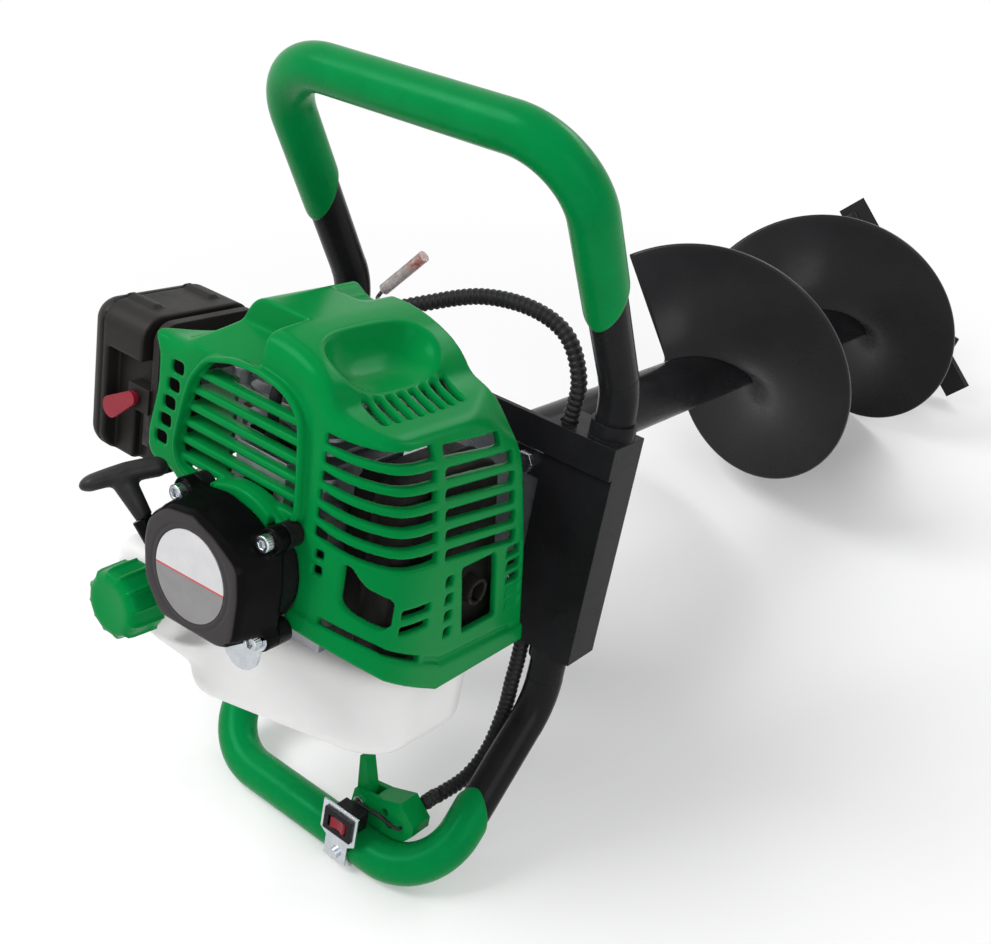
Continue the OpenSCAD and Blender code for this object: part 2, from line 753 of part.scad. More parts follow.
module cylinder_block() {
    difference() {
        union() {
            rod_z(bore_r + 5, deck_h, head_h, 0, cyl_y);
            block([-30, cyl_y - 30, deck_h], [30, cyl_y + 30, deck_h + flange_h]);
            for (i = [0 : fin_count - 1])
                along_z(deck_h + flange_h + 8 + i * fin_pitch, fin_t)
                    polygon(round_rect(-fin_half_w, fin_half_w, cyl_y - fin_half_w,
                        cyl_y + fin_half_w, 10));
            block([-inlet_x, cyl_y - 18, port_z - 14], [0, cyl_y + 18, port_z + 14]);
            block([0, cyl_y - 18, port_z - 14], [exhaust_x, cyl_y + 18, port_z + 14]);
        }
        rod_z(bore_r, deck_h - eps, chamber_z, 0, cyl_y);
        rod_z(plug_r + run, chamber_z - eps, head_h + eps, 0, cyl_y);
        rod_x(port_r, -inlet_x - eps, exhaust_x + eps, cyl_y, port_z);
        for (x = [-bolt_reach, bolt_reach], y = [-bolt_reach, bolt_reach])
            rod_z(bolt_r + run, deck_h - eps, deck_h + flange_h + eps, x, cyl_y + y);
    }
}

module along_z(z0, h) {
    translate([0, 0, z0]) linear_extrude(h) children();
}

module cylinder_barrel() {
    color("#a9acaf") place() cylinder_block();
}

module cylinder_bolts() {
    color("#c0c2c4") place()
        for (x = [-bolt_reach, bolt_reach], y = [-bolt_reach, bolt_reach]) {
            rod_z(bolt_r, deck_h - 8.5, deck_h + flange_h + eps, x, cyl_y + y);
            rod_z(bolt_r + 2, deck_h + flange_h, deck_h + flange_h + 6, x, cyl_y + y);
        }
}

module spark_plug() {
    color("#d9d9d6") place() {
        rod_z(plug_r, chamber_z + 1, head_h + eps, 0, cyl_y);
        translate([0, cyl_y, head_h]) cylinder(r = 10, h = 8, $fn = 6);
        rod_z(5, head_h + 7, head_h + 13, 0, cyl_y);
        rod_z(3, head_h + 12, head_h + 16, 0, cyl_y);
    }
}

// Rubber cap on the plug and its lead down to the coil
coil_y = case_y - 9;
coil_top = 66;
boot_top = head_h + 18.5;
lead_z = boot_top - 5;
module plug_boot() {
    color("#17181a") place() difference() {
        union() {
            rod_z(8, head_h + 8 + seat, boot_top, 0, cyl_y);
            bent_rod([[0, cyl_y, lead_z], [0, coil_y, lead_z], [0, coil_y, coil_top]], [18], 3.5);
        }
        rod_z(5 + run, head_h, head_h + 13 + seat, 0, cyl_y);
        rod_z(3 + run, head_h, head_h + 16 + seat, 0, cyl_y);
    }
}

module ignition_coil() {
    color("#2a2b2d") place() {
        block([-20, coil_y - 6, coil_top - 20], [20, case_y - 2, coil_top]);
        for (x = [-16, 16])
            block([x - 4, coil_y - 6, flywheel_r + 2], [x + 4, case_y - 2, coil_top - 19]);
    }
}

// Fan case round the flywheel, with a tab at its top for the coil
screw_x = screw_span_x / 2;
screw_z = screw_span_z / 2;
screw_r = 2.5;
boss_r = 8;
module fan_case() {
    color("#232426") place() difference() {
        union() {
            rod_y(fan_r, fan_y, case_y);
            for (x = [-screw_x, screw_x], z = [-screw_z, screw_z])
                rod_y(boss_r, fan_y, cover_y - seat, x, z);
            block([-24, case_y - 2, 0], [24, case_y, coil_top + 4]);
        }
        difference() {
            rod_y(fan_r - 3, fan_y - eps, case_y - 2);
            for (x = [-screw_x, screw_x], z = [-screw_z, screw_z])
                rod_y(boss_r, fan_y - 2 * eps, cover_y, x, z);
        }
        block([-24, fan_y - eps, 30], [24, case_y - 2, fan_r + eps]);
        rod_y(crank_r + 4, fan_y, case_y + eps);
        for (x = [-screw_x, screw_x], z = [-screw_z, screw_z])
            rod_y(screw_r + run, fan_y - eps, cover_y - 1.5, x, z);
    }
}

blade_count = 16;
module flywheel() {
    color("#9b9ea1") place() difference() {
        union() {
            rod_y(flywheel_r - 8, fan_y + 8, case_y - 6);
            rod_y(flywheel_r, case_y - 10, case_y - 6);
            for (i = [0 : blade_count - 1])
                rotate([0, i * 360 / blade_count, 0])
                    block([-1.2, fan_y + 8, flywheel_r - 12], [1.2, case_y - 8, flywheel_r]);
        }
        rod_y(crank_r + run, fan_y, case_y);
        rod_y(flywheel_r - 14, fan_y, fan_y + 14);
    }
}

// Recoil starter
starter_outline = [[-39, 21], [-41, 6], [-38, -19], [-22, -37], [28, -34], [38, -26], [40, 2], [36, 21],
    [20, 30], [-4, 38], [-25, 34]];
face_grow = [0.95, 1, 1.1];
face_depth = [0, 5, starter_len];
post_r = 8;
reel_r = reel_d / 2;
reel_y0 = starter_len - 18;
reel_y1 = starter_len - 8;
guide_dir = unit([-0.59, -0.2, 0.78]);
guide_root = [-42, 14, -6];
guide_len = 20;
guide_tip = guide_root + guide_dir * guide_len;

module starter_housing() {
    color("#1a1b1d") place() difference() {
        union() {
            hull()
                for (i = [0 : 2])
                    along_y(face_depth[i] - (i == 2 ? 0.5 : 0), face_depth[i] + (i == 2 ? 0 : 0.5))
                        polygon(starter_outline * face_grow[i]);
            for (x = [-screw_x, screw_x], z = [-screw_z, screw_z])
                rod_y(boss_r, starter_len - 9, starter_len, x, z);
            rod(guide_root, guide_tip, 6);
        }
        difference() {
            rod_y(reel_r + 2, 3, starter_len + eps);
            rod_y(post_r, 2, reel_y1 + 2);
        }
        rod_y(plate_d / 2 + run, -eps, 1);
        rod(guide_root, guide_tip + guide_dir * eps, 2.5);
        for (x = [-screw_x, screw_x], z = [-screw_z, screw_z]) {
            rod_y(screw_r + run, 0, starter_len + eps, x, z);
            rod_y(screw_r + 3, -eps, starter_len - 9, x, z);
        }
    }
}

module starter_screws() {
    color("#c6c8ca") place()
        for (x = [-screw_x, screw_x], z = [-screw_z, screw_z]) {
            lift = x > 0 && z < 0 ? guard_t : 0;
            rod_y(screw_r, starter_len - 12, cover_y - 2, x, z);
            rod_y(screw_r + 2.5, starter_len - 15 - lift, starter_len - 9 - lift, x, z);
        }
}

module starter_plate() {
    color("#d8d8d8") place() rod_y(plate_d / 2, 0, 1);
}

module starter_reel() {
    color("#2c2d30") place() difference() {
        rod_y(reel_r, reel_y0, reel_y1);
        rod_y(post_r + run, reel_y0 - eps, reel_y1 + eps);
        difference() {
            rod_y(reel_r + eps, reel_y0 + 3, reel_y1 - 3);
            rod_y(reel_r - 9, reel_y0, reel_y1);
        }
    }
}

// Flat recoil spring in its recess behind the starter face
module starter_spring() {
    color("#85888c") place() ring_y(reel_r - 3, post_r + seat, 3, reel_y0 - 1);
}

pull_centre = guide_tip + guide_dir * 27;
module starter_handle() {
    half = pull_len / 2;
    along = unit([0.45, 0.85, 0.25]);
    side = side_of(along);
    color("#1c1d1f") place() {
        rod(guide_tip + guide_dir * seat, pull_centre, 4.5);
        multmatrix(frame(side, cross(along, side), along, pull_centre))
            rotate_extrude() polygon(concat([[0, -half]], arc([pull_d / 2 - 5, 5 - half], 5, -90, 0),
                arc([pull_d / 2 - 5, half - 5], 5, 0, 90), [[0, half]]));
    }
}

// Moulded engine cover, open at the back, the left and below. Its roof steps down at a pocket over the
// grille, and a round bowl sinks into the muffler side of the hump.
cover_top = head_h + cover_rise;
cover_roof = [46, cover_top - 32];
roof_edge = [84, cover_top - 46];
cover_hip = 2;
plateau_left = -52;
shelf_z = cover_top - 32;
cover_lip = -29;
lip_run = [28, 74];
rear_lean = 0.24;
pocket = [[-80, -4], 34, 20];
bowl = [50, cyl_y + 1, cover_top + 26];
bowl_r = 60;
scoop = [-26, cyl_y + 33, 14];
hem_h = 17;
hem_out = 2;
function back_at(z) = cover_back - rear_lean * (z + cover_drop);

function cover_profile(d, open) = concat(
    [[plateau_left - open, -cover_drop - open], [cover_side - d, -cover_drop - open], [cover_side - d, 0]],
    [[roof_edge.x + 3 - d, roof_edge.y - 10], [roof_edge.x - 3 - d, roof_edge.y - d]],
    [for (p = [[0, 0], [-11, 11], [-22, 20], [-34, 28]]) cover_roof + p - [d / 2, d]],
    [[cover_hip, cover_top - d], [plateau_left - open, cover_top - d]]);
function cover_plan(d, open) = concat(
    [[plateau_left - open, cover_y + d]],
    arc([cover_side - cover_corner_r, cover_y + cover_corner_r], cover_corner_r - d, -90, 0, 12),
    [[cover_side - d, cover_back + open], [plateau_left - open, cover_back + open]]);
function lip_line(lift) = [[cover_y - 4, cover_lip + 3 + lift], [cover_y + lip_run[0],
    cover_lip - 21 + lift],
    [cover_y + lip_run[1], lift - cover_drop]];
function cover_side_view(d, open) = concat(lip_line(-open),
    [[cover_back + open, -cover_drop - open], [back_at(cover_top) + open, cover_top - d]],
    [[cover_y + 32, cover_top - d], [cover_y + 6 + d, cover_top - 4 - d], [cover_y - 4 + d,
        cover_top - 14 - d]]);

module cover_solid(d, open) {
    difference() {
        intersection() {
            along_y(cover_y - eps, cover_back + open) polygon(cover_profile(d, open));
            along_z(-cover_drop - 2 * open, cover_drop + cover_top + 2 * open) polygon(cover_plan(d, open));
            along_x(plateau_left - open, cover_side + eps) polygon(cover_side_view(d, open));
        }
        block([pocket[0][0] - d, cover_y - eps, cover_top - pocket[2] - d],
              [pocket[0][1] + d, cover_y + pocket[1] + d, cover_top + eps]);
        translate(bowl) sphere(bowl_r + d);
        rod_y(scoop[2] + d, scoop[1] - d, cover_back + 2 * open, scoop[0], cover_top + 4);
    }
}

grille_x = [-58, 36];
grille_z = [36, cover_top - 28];
rim_w = 5;
function oval(grow) = round_rect(grille_x[0] - grow, grille_x[1] + grow, grille_z[0] - grow,
    grille_z[1] + grow, 28 + grow);
slat_count = 7;
slat_pitch = (grille_z[1] - grille_z[0]) / slat_count;
wing_slots = 5;
side_rows = 6;
side_top = roof_edge.y + 4;
divider_y = cover_y + cover_corner_r + 2;
outlet_y = cyl_y + 48;
outlet_z = -16;
window_half = [17, 25];

module front_cuts() {
    intersection() {
        along_y(cover_y - 9, cover_y + cover_wall + eps) polygon(oval(0));
        for (i = [0 : slat_count - 1])
            block([grille_x[0], cover_y - 10, grille_z[0] + i * slat_pitch],
                  [grille_x[1], cover_y + 10, grille_z[0] + (i + 0.62) * slat_pitch]);
    }
    for (i = [0 : wing_slots - 1]) {
        x = 24 - cover_left - 2.6 * i;
        z = shelf_z - 18 - 12.1 * i;
        block([x - 5, cover_y - eps, z - 4], [x + 5, cover_y + 10, z + 4]);
    }
    along_y(cover_y - 4, divider_y - 26)
        polygon([for (p = [[-32, 24], [-28, 24], [-20, 12], [-9, 4], [-9, -14], [-12, -17], [-28, -6],
            [-32, 0]])
            [cover_side + p.x, p.y]]);
    for (z = [12, 22])
        block([cover_side - 49, cover_y - eps, z], [cover_side - 43, cover_y + 10, z + 6]);
}

// A slot row that drops by two shares of the pitch along its length
module slot_row(u0, u1, z0, z1, grow) {
    polygon([[u0, z0], [u1, z1], [u1, z1 - slot_h * grow], [u0, z0 - slot_h]]);
}

module side_cuts() {
    for (i = [0 : side_rows - 1]) {
        z_front = side_top - i * slot_pitch;
        z_edge = side_top - 5 - i * slot_pitch * 1.2;
        z_back = side_top - 8 - i * slot_pitch * 1.4;
        along_y(cover_y - eps, divider_y - 4) slot_row(cover_side - 51, cover_side + eps, z_front,
            z_edge, 1.15);
        along_x(cover_side - 30, cover_side + eps)
            slot_row(divider_y + 4, back_at(z_back) - 14, z_edge, z_back, 1.3);
    }
    along_x(cover_side - 10, cover_side + eps)
        polygon([for (p = [[-1, -1], [1, -1], [1, 1], [-1, 1]])
            [outlet_y + p.x * window_half.x - p.y * 6, outlet_z + p.y * window_half.y]]);
    for (i = [0 : 4]) {
        z = outlet_z - window_half.y + i * 10.5;
        y = back_at(z);
        block([cover_side - 10, y - 16, z], [cover_side + eps, y - 6, z + 6.5]);
    }
    for (i = [0 : 3]) {
        z = outlet_z - window_half.y + 4 + i * 12.5;
        block([cover_side - 10, divider_y + 14 - 2 * i, z], [cover_side + eps, divider_y + 21 - 2 * i,
            z + 7]);
    }
    for (z = [-10, -21])
        block([cover_side - 18, divider_y - 26, z], [cover_side + eps, divider_y - 4, z + 6]);
    for (i = [0 : 7])
        block([cover_roof.x - 2, cyl_y - 29 + i * 9.5, cover_roof.y - 24],
              [cover_roof.x + 16, cyl_y - 24 + i * 9.5, cover_roof.y + 14]);
}

// Front plate that reaches out to the air filter, with a shelf along its top
module cover_wing() {
    along_y(cover_y, cover_y + cover_wall)
        polygon([[plateau_left + 4, 24], [28 - cover_left, 28], [10 - cover_left, 27], [2 - cover_left, 42],
            [8 - cover_left, 75], [9 - cover_left, shelf_z - 12], [-cover_left, shelf_z - 1],
            [-cover_left, shelf_z + cover_wall], [plateau_left + 4, shelf_z + cover_wall]]);
    along_z(shelf_z, cover_wall)
        polygon([[-cover_left, cover_y], [5 - cover_left, cover_y + 12], [plateau_left - 18, cover_y + 38],
            [plateau_left + 4, cover_y + 38], [plateau_left + 4, cover_y]]);
}

// Proud band along the lower edge
module cover_hem() {
    difference() {
        intersection() {
            along_z(-cover_drop, cover_drop + 20) polygon(cover_plan(-hem_out, 0));
            along_x(0, cover_side + 2 * hem_out)
                polygon(concat(lip_line(0), [[cover_back, -cover_drop], [back_at(hem_h - cover_drop),
                    hem_h - cover_drop]],
                    [for (i = [2 : -1 : 0]) lip_line(hem_h)[i]]));
        }
        cover_solid(cover_wall, 40);
    }
}

module engine_cover() {
    color("#0c8c3e") place() difference() {
        union() {
            difference() {
                cover_solid(0, 0);
                cover_solid(cover_wall, 40);
            }
            cover_wing();
            cover_hem();
            along_y(cover_y - 5, cover_y + eps) polygon(oval(rim_w));
        }
        along_y(cover_y - 6, cover_y - 2) polygon(oval(rim_w - 3));
        rod_y(fan_r + 0.5, cover_y - 10, cover_y + 10);
        for (x = [-screw_x, screw_x], z = [-screw_z, screw_z])
            rod_y(boss_r + 0.5, cover_y - 10, cover_y, x, z);
        block([plateau_left - 50, cover_y - 10, -cover_drop], [fan_r - 8, cover_y + 10, 4]);
        front_cuts();
        side_cuts();
    }
}

// Muffler box on the exhaust boss, its outlet tube inside the cover's window
muffler_x1 = cover_side - cover_wall - 12;
muffler_z = [-56, 68];
muffler_y0 = cyl_y - 27;
muffler_y1 = back_at(muffler_z[1]) - 8;
module muffler() {
    color("#4a4b4d") place() difference() {
        union() {
            along_x(exhaust_x, muffler_x1)
                polygon(round_rect(muffler_y0, muffler_y1, muffler_z[0], muffler_z[1], 12));
            rod_x(outlet_r + 2, muffler_x1 - eps, muffler_x1 + outlet_len, outlet_y, outlet_z);
        }
        along_x(exhaust_x + 2, muffler_x1 - 2)
            polygon(round_rect(muffler_y0 + 2, muffler_y1 - 2, muffler_z[0] + 2, muffler_z[1] - 2, 10));
        rod_x(outlet_r, muffler_x1 - 3, muffler_x1 + outlet_len + eps, outlet_y, outlet_z);
        rod_x(port_r, exhaust_x - eps, exhaust_x + 3, cyl_y, port_z);
    }
}

// Inlet side: heat block, carburettor, air filter
block_len = 12;
carb_x1 = -inlet_x - block_len;
carb_x0 = carb_x1 - 42;
base_t = 6;
module intake_insulator() {
    color("#3a3530") place() difference() {
        block([carb_x1, cyl_y - 20, port_z - 16], [-inlet_x, cyl_y + 20, port_z + 16]);
        rod_x(port_r, carb_x1 - eps, -inlet_x + eps, cyl_y, port_z);
    }
}

carb_half = [17, 19];
module carburettor() {
    color("#b0b2b4") place() difference() {
        union() {
            block([carb_x0, cyl_y - carb_half.x, port_z - carb_half.y],
                  [carb_x1, cyl_y + carb_half.x, port_z + carb_half.y]);
            rod_z(9, port_z + carb_half.y - eps, port_z + carb_half.y + 10, (carb_x0 + carb_x1) / 2, cyl_y);
        }
        rod_x(port_r, carb_x0 - eps, carb_x1 + eps, cyl_y, port_z);
    }
}

filter_x1 = carb_x0 - base_t;
lever_axle = [filter_x1 - 11, filter_y, 58];
lever_axle_r = 3;
module air_filter_base() {
    color("#1b1b1c") place() difference() {
        union() {
            along_x(filter_x1, carb_x0)
                polygon(round_rect(filter_y + 3, filter_y + filter_w - 3, filter_low + 3,
                    filter_top - 3, 12));
            block([lever_axle.x - 7, filter_y + 1, lever_axle.z - 8], [filter_x1 + eps, filter_y + 9,
                lever_axle.z + 8]);
        }
        rod_x(port_r, filter_x1 - eps, carb_x0 + eps, cyl_y, port_z);
        rod_y(lever_axle_r + run, filter_y, filter_y + 10, lever_axle.x, lever_axle.z);
    }
}

module air_filter_element() {
    color("#3a3c3e") place()
        block([filter_x1 - 18, filter_y + 14, filter_low + 14],
              [filter_x1, filter_y + filter_w - 14, filter_top - 14]);
}

module filter_shell(d, open) {
    hull() {
        along_x(-filter_out + d, -filter_out + d + 1)
            polygon(round_rect(filter_y + 8 + d, filter_y + filter_w - 8 - d, filter_low + 8 + d,
                filter_top - 8 - d, 12));
        along_x(-filter_out + 10 + d, filter_x1 + open)
            polygon(round_rect(filter_y + d, filter_y + filter_w - d, filter_low + d, filter_top - d, 14));
    }
}

// Filter lid with an open recess in its front for the choke lever
module air_filter_cover() {
    color("#1e1d1d") place() difference() {
        filter_shell(0, 0);
        filter_shell(2.5, eps);
        block([lever_axle.x - 12, filter_y - eps, filter_low + 10], [filter_x1 + eps, filter_y + 8,
            lever_axle.z + 22]);
    }
}

choke_reach = 28;
module choke_lever() {
    color("#b01f2e") place() {
        rod_y(lever_axle_r, filter_y - 2, filter_y + 8.5, lever_axle.x, lever_axle.z);
        translate([lever_axle.x, 0, lever_axle.z]) rotate([0, -35, 0]) {
            rod_y(4.5, filter_y - 4, filter_y - 1);
            rod_y(7, filter_y - 4, filter_y - 1, -choke_reach + 7);
            along_y(filter_y - 4, filter_y - 1)
                polygon([[0, 4.5], [-choke_reach + 7, 7], [-choke_reach + 7, -7], [0, -4.5]]);
        }
    }
}

// Fuel tank: a low body, with a higher shoulder at the filler
tank_top = -sump_h;
shoulder_x = [-106, -48];
shoulder_z = [-90, -30];
tank_front = cap_len + 6;
tank_back = 182;
cap_x = -71;
cap_z = -57;
tank_plan = [[-58, tank_front + 30], [-40, 52], [70, 84], [87, 102], [89, tank_back - 18], [74, tank_back],
    [-52, tank_back], [-64, tank_back - 18]];
module tank_slice(z, shrink) {
    along_z(z, 1) polygon([for (p = tank_plan) [p.x * shrink, 118 + (p.y - 118) * shrink]]);
}

module shoulder_slice(z, shrink) {
    along_z(z, 1) polygon(round_rect(shoulder_x[0] + shrink, shoulder_x[1] - shrink, tank_front + shrink,
        tank_back - 30 - shrink, 16 - shrink / 2));
}

module fuel_tank() {
    color("#e9e8e6") place() difference() {
        union() {
            hull() {
                tank_slice(-tank_bottom, 0.9);
                tank_slice(9 - tank_bottom, 1);
                tank_slice(tank_top - 9, 1);
                tank_slice(tank_top - 1, 0.93);
            }
            hull() {
                shoulder_slice(shoulder_z[0], 12);
                shoulder_slice(shoulder_z[0] + 14, 0);
                shoulder_slice(shoulder_z[1] - 13, 0);
                shoulder_slice(shoulder_z[1] - 1, 9);
            }
            rod_y(neck_d / 2, tank_front - 14, tank_front + 6, cap_x, cap_z);
        }
        block([shoulder_x[1] - 3, tank_front - eps, tank_top], [0, cover_back, 0]);
        rod_y(neck_d / 2 - 4, tank_front - 14 - eps, tank_front + 40, cap_x, cap_z);
    }
}

lobes = 12;
module fuel_cap() {
    color("#0c8c3e") place() translate([cap_x, tank_front - 1, cap_z]) difference() {
        union() {
            rod_y(cap_d / 2 - 2, -cap_len, 0);
            for (i = [0 : lobes - 1])
                rotate([0, i * 360 / lobes, 0]) rod_y(4, 3 - cap_len, -3, cap_d / 2 - 4);
        }
        rod_y(neck_d / 2 + 0.1, -13.5, eps);
    }
}

hose_r = 3;
hose_foot = [-88, tank_front + 42, shoulder_z[1] - 0.3];
module fuel_hose() {
    top = [carb_x0 + 8, cyl_y - 8, port_z - carb_half.y - seat];
    color("#d5d2c4") place()
        bent_tube([hose_foot + [0, 0, 0.6], hose_foot + [0, 0, 24], [top.x, top.y, top.z - 16], top],
            [10, 8], hose_r, hose_r - 1);
}

// Zinc plate under the lower screw on the muffler side
guard_t = 1.5;
module tank_guard() {
    color("#c3c7c9") place() along_y(starter_len - 9 - guard_t, starter_len - 9) difference() {
        union() {
            translate([screw_x, -screw_z]) circle(7);
            translate([screw_x - 12, -screw_z - 10]) circle(15);
        }
        translate([screw_x, -screw_z]) circle(screw_r + seat);
        polygon(starter_outline * (face_grow[2] + 0.01));
    }
}

// Throttle on the back of the lower crossbar
body_x = [25, 82];
body_y = [lower_bar_y + 7, lower_bar_y + 25];
body_z = [lower_bar_z + 2, lower_bar_z + 46];
lever_pin = [body_x[0] + 8, (body_y[0] + body_y[1]) / 2, lower_bar_z + 26];
lever_pin_r = lever_pin_d / 2;
cheek = 4;

module throttle_housing() {
    color("#0b8a3c") place() difference() {
        along_y(body_y[0], body_y[1])
            polygon([[body_x[0] + 14, body_z[0]], [body_x[1] - 18, body_z[0]], [body_x[1], body_z[0] + 24],
                [body_x[1], body_z[1] - 12], [body_x[1] - 14, body_z[1]], [body_x[0] + 22, body_z[1] - 8],
                [body_x[0] + 2, lever_pin.z + 8], [body_x[0], lever_pin.z - 8]]);
        bent_rod(grip_points(lower_loop, lower_grip_leg), [corner_r, corner_r], grip_r + seat);
        block([body_x[0] - eps, body_y[0] + cheek, lever_pin.z - 11],
              [lever_pin.x + 12, body_y[1] - cheek, body_z[1] + eps]);
        rod_y(lever_pin_r + run, body_y[0] - eps, body_y[1] + eps, lever_pin.x, lever_pin.z);
        rod_y(3, body_y[0] - eps, body_y[1] + eps, body_x[0] + 31, lever_pin.z + 5);
    }
}

module throttle_trigger() {
    y0 = body_y[0] + cheek + seat;
    y1 = body_y[1] - cheek - seat;
    color("#0a7d37") place() translate([lever_pin.x, 0, lever_pin.z]) difference() {
        union() {
            rod_y(7, y0, y1);
            along_y(y0, y1) polygon([[-6.5, 0], [-9, lever_len], [-3, lever_len], [6.5, 3]]);
        }
        rod_y(lever_pin_r + run, y0 - eps, y1 + eps);
    }
}

module trigger_pin() {
    color("#c8cacc") place() {
        rod_y(lever_pin_r, body_y[0] - 1, body_y[1] + 1, lever_pin.x, lever_pin.z);
        rod_y(lever_pin_r + 2, body_y[0] - 2, body_y[0], lever_pin.x, lever_pin.z);
        rod_y(lever_pin_r + 2, body_y[1], body_y[1] + 2, lever_pin.x, lever_pin.z);
    }
}

// Stop switch on a strap plate in front of the lower crossbar
switch_x = [21, 53];
switch_mid = (switch_x[0] + switch_x[1]) / 2;
switch_y = lower_bar_y - grip_r - 3;
switch_z = lower_bar_z + grip_r + 7.7;
switch_half = [10.5, 7];
strap_plate_t = 1.5;
module switch_bracket() {
    color("#cfd1d2") place() {
        difference() {
            along_y(switch_y, switch_y + strap_plate_t)
                polygon([[switch_x[0], switch_z + 13], [switch_x[1], switch_z + 13], [switch_x[1],
                    switch_z - 11],
                    [switch_x[1] - 6, switch_z - 15], [switch_x[1] - 6, lower_bar_z - 9],
                    [switch_x[0] + 6, lower_bar_z - 9], [switch_x[0] + 6, switch_z - 15],
                        [switch_x[0], switch_z - 11]]);
            block([switch_mid - switch_half.x, switch_y - eps, switch_z - switch_half.y],
                  [switch_mid + switch_half.x, switch_y + 3, switch_z + switch_half.y]);
        }
        difference() {
            rod_x(grip_r + 2, switch_x[0] + 6, switch_x[1] - 6, lower_bar_y, lower_bar_z);
            rod_x(grip_r + seat, switch_x[0], switch_x[1], lower_bar_y, lower_bar_z);
            block([0, lower_bar_y - 9, lower_bar_z - 40], [100, lower_bar_y + 40, lower_bar_z + 40]);
            block([0, lower_bar_y - 40, lower_bar_z + 3], [100, lower_bar_y, lower_bar_z + 40]);
        }
        block([switch_x[0] + 6, switch_y + strap_plate_t, lower_bar_z - 3],
              [switch_x[1] - 6, lower_bar_y - grip_r - seat, lower_bar_z + 3]);
        rod_y(4, switch_y - 2.5, switch_y, switch_mid, lower_bar_z - 3);
    }
}

rocker_axle = [switch_mid, switch_y + 3, switch_z];
module switch_body() {
    color("#18191b") place() difference() {
        union() {
            block([switch_mid - switch_half.x - 2, switch_y - 2, switch_z - switch_half.y - 2],
                  [switch_mid + switch_half.x + 2, switch_y, switch_z + switch_half.y + 2]);
            block([switch_mid - switch_half.x + run, switch_y - 1, switch_z - switch_half.y + run],
                  [switch_mid + switch_half.x - run, switch_y + 18, switch_z + switch_half.y - run]);
        }
        block([switch_mid - 8.5, switch_y - 3, switch_z - 5], [switch_mid + 8.5, switch_y + 12,
            switch_z + 5]);
        translate([rocker_axle.x, rocker_axle.y, 0]) rod_z(1.5 + run, switch_z - 6.5, switch_z + 6.5);
    }
}

module switch_rocker() {
    color("#c02a35") place() translate(rocker_axle) {
        intersection() {
            translate([0, 0, -4.6]) linear_extrude(9.2) difference() {
                circle(8);
                translate([0, -16.5]) circle(12.2);
            }
            block([-7.6, -10, -5], [7.6, 6, 5]);
        }
        rod_z(1.5, -6.3, 6.3);
    }
}

// Two wires from the back of the switch into the front of the throttle housing
wire_r = 1.2;
wire_y = body_y[0] - 3.7;
module switch_wires() {
    color("#141415") place()
        for (side = [-1, 1]) {
            start = [switch_mid + 5 * side, switch_y + 18 + seat, switch_z + 3.5 - 2 * side];
            end = [body_x[1] - 14 - 4 * side, body_y[0] - seat, start.z];
            bent_rod([start, [start.x, wire_y, start.z], [end.x, wire_y, start.z], end], [2.5, 2.5],
                wire_r);
        }
}

// Ribbed conduit from the carburettor, over the gearbox, down the bracket to the throttle
carb_back = cyl_y + carb_half.x + 0.3;
body_back = body_y[1] + 0.3;
conduit_route = [[-71, carb_back, 58], [-71, carb_back + 14, 58], [-69, 150, 67], [-62, 172, 86],
    [-50, 196, 108],
    [-25, 217, 122], [8, 226, 135], [44, 230, 138], [72, 231, 129], [87, 231, 104], [conduit_x,
        conduit_y, 74],
    [conduit_x, conduit_y, 30], [conduit_x, conduit_y, -30], [conduit_x, conduit_y, -100], [86, 230, -124],
    [86, 228, lower_bar_z + 97], [85, 218, lower_bar_z + 67], [81, 203, lower_bar_z + 48],
    [76, 182, lower_bar_z + 41], [75, body_back + 12, lower_bar_z + 41],
    [75, body_back, lower_bar_z + 41]];
conduit_wall = 1.5;
rib_sides = 8;
rib_low = 0.86;
function route_point(i) = conduit_route[max(0, min(len(conduit_route) - 1, i))];
function spline(t) = let (
    n = len(conduit_route) - 1,
    i = min(floor(t * n), n - 1),
    u = t * n - i,
    a = route_point(i - 1), b = route_point(i), c = route_point(i + 1), d = route_point(i + 2))
    0.5 * (2 * b + (c - a) * u + (2 * a - 5 * b + 4 * c - d) * u * u + (3 * b - a - 3 * c + d) * u * u * u);
trace_steps = 400;
trace = [for (i = 0, s = 0; i <= trace_steps; i = i + 1,
    s = s + (i <= trace_steps ? norm(spline(i / trace_steps) - spline((i - 1) / trace_steps)) : 0))
    [s, i / trace_steps]];
conduit_len = trace[trace_steps][0];
function route_at(s) = spline(lookup(max(0, min(conduit_len, s)), trace));
function route_dir(s) = unit(route_at(s + 1) - route_at(s - 1));
ring_guide = [0.7, -0.7, 0.15];
function ring_at(s, r) = let (
    u = route_dir(s),
    e = unit(cross(ring_guide, u)),
    f = cross(u, e),
    p = route_at(s))
    [for (k = [0 : rib_sides - 1]) p + r * (e * cos(360 * k / rib_sides) + f * sin(360 * k / rib_sides))];

module throttle_conduit() {
    outer = [for (i = [0 : 2 * conduit_ribs]) ring_at(conduit_len * i / (2 * conduit_ribs),
        conduit_r * (i % 2 == 0 ? rib_low : 1))];
    bore_steps = 80;
    inner = [for (i = [bore_steps : -1 : 0]) ring_at(conduit_len * i / bore_steps,
        conduit_r * rib_low - conduit_wall)];
    rings = concat(outer, inner);
    count = len(rings);
    faces = [for (i = [0 : count - 1], k = [0 : rib_sides - 1]) let (
        a = i * rib_sides + k,
        b = i * rib_sides + (k + 1) % rib_sides,
        c = (i + 1) % count * rib_sides)
        each [[a, c + k, c + (k + 1) % rib_sides], [a, c + (k + 1) % rib_sides, b]]];
    color("#141415") place() polyhedron([for (ring = rings) each ring], faces);
}

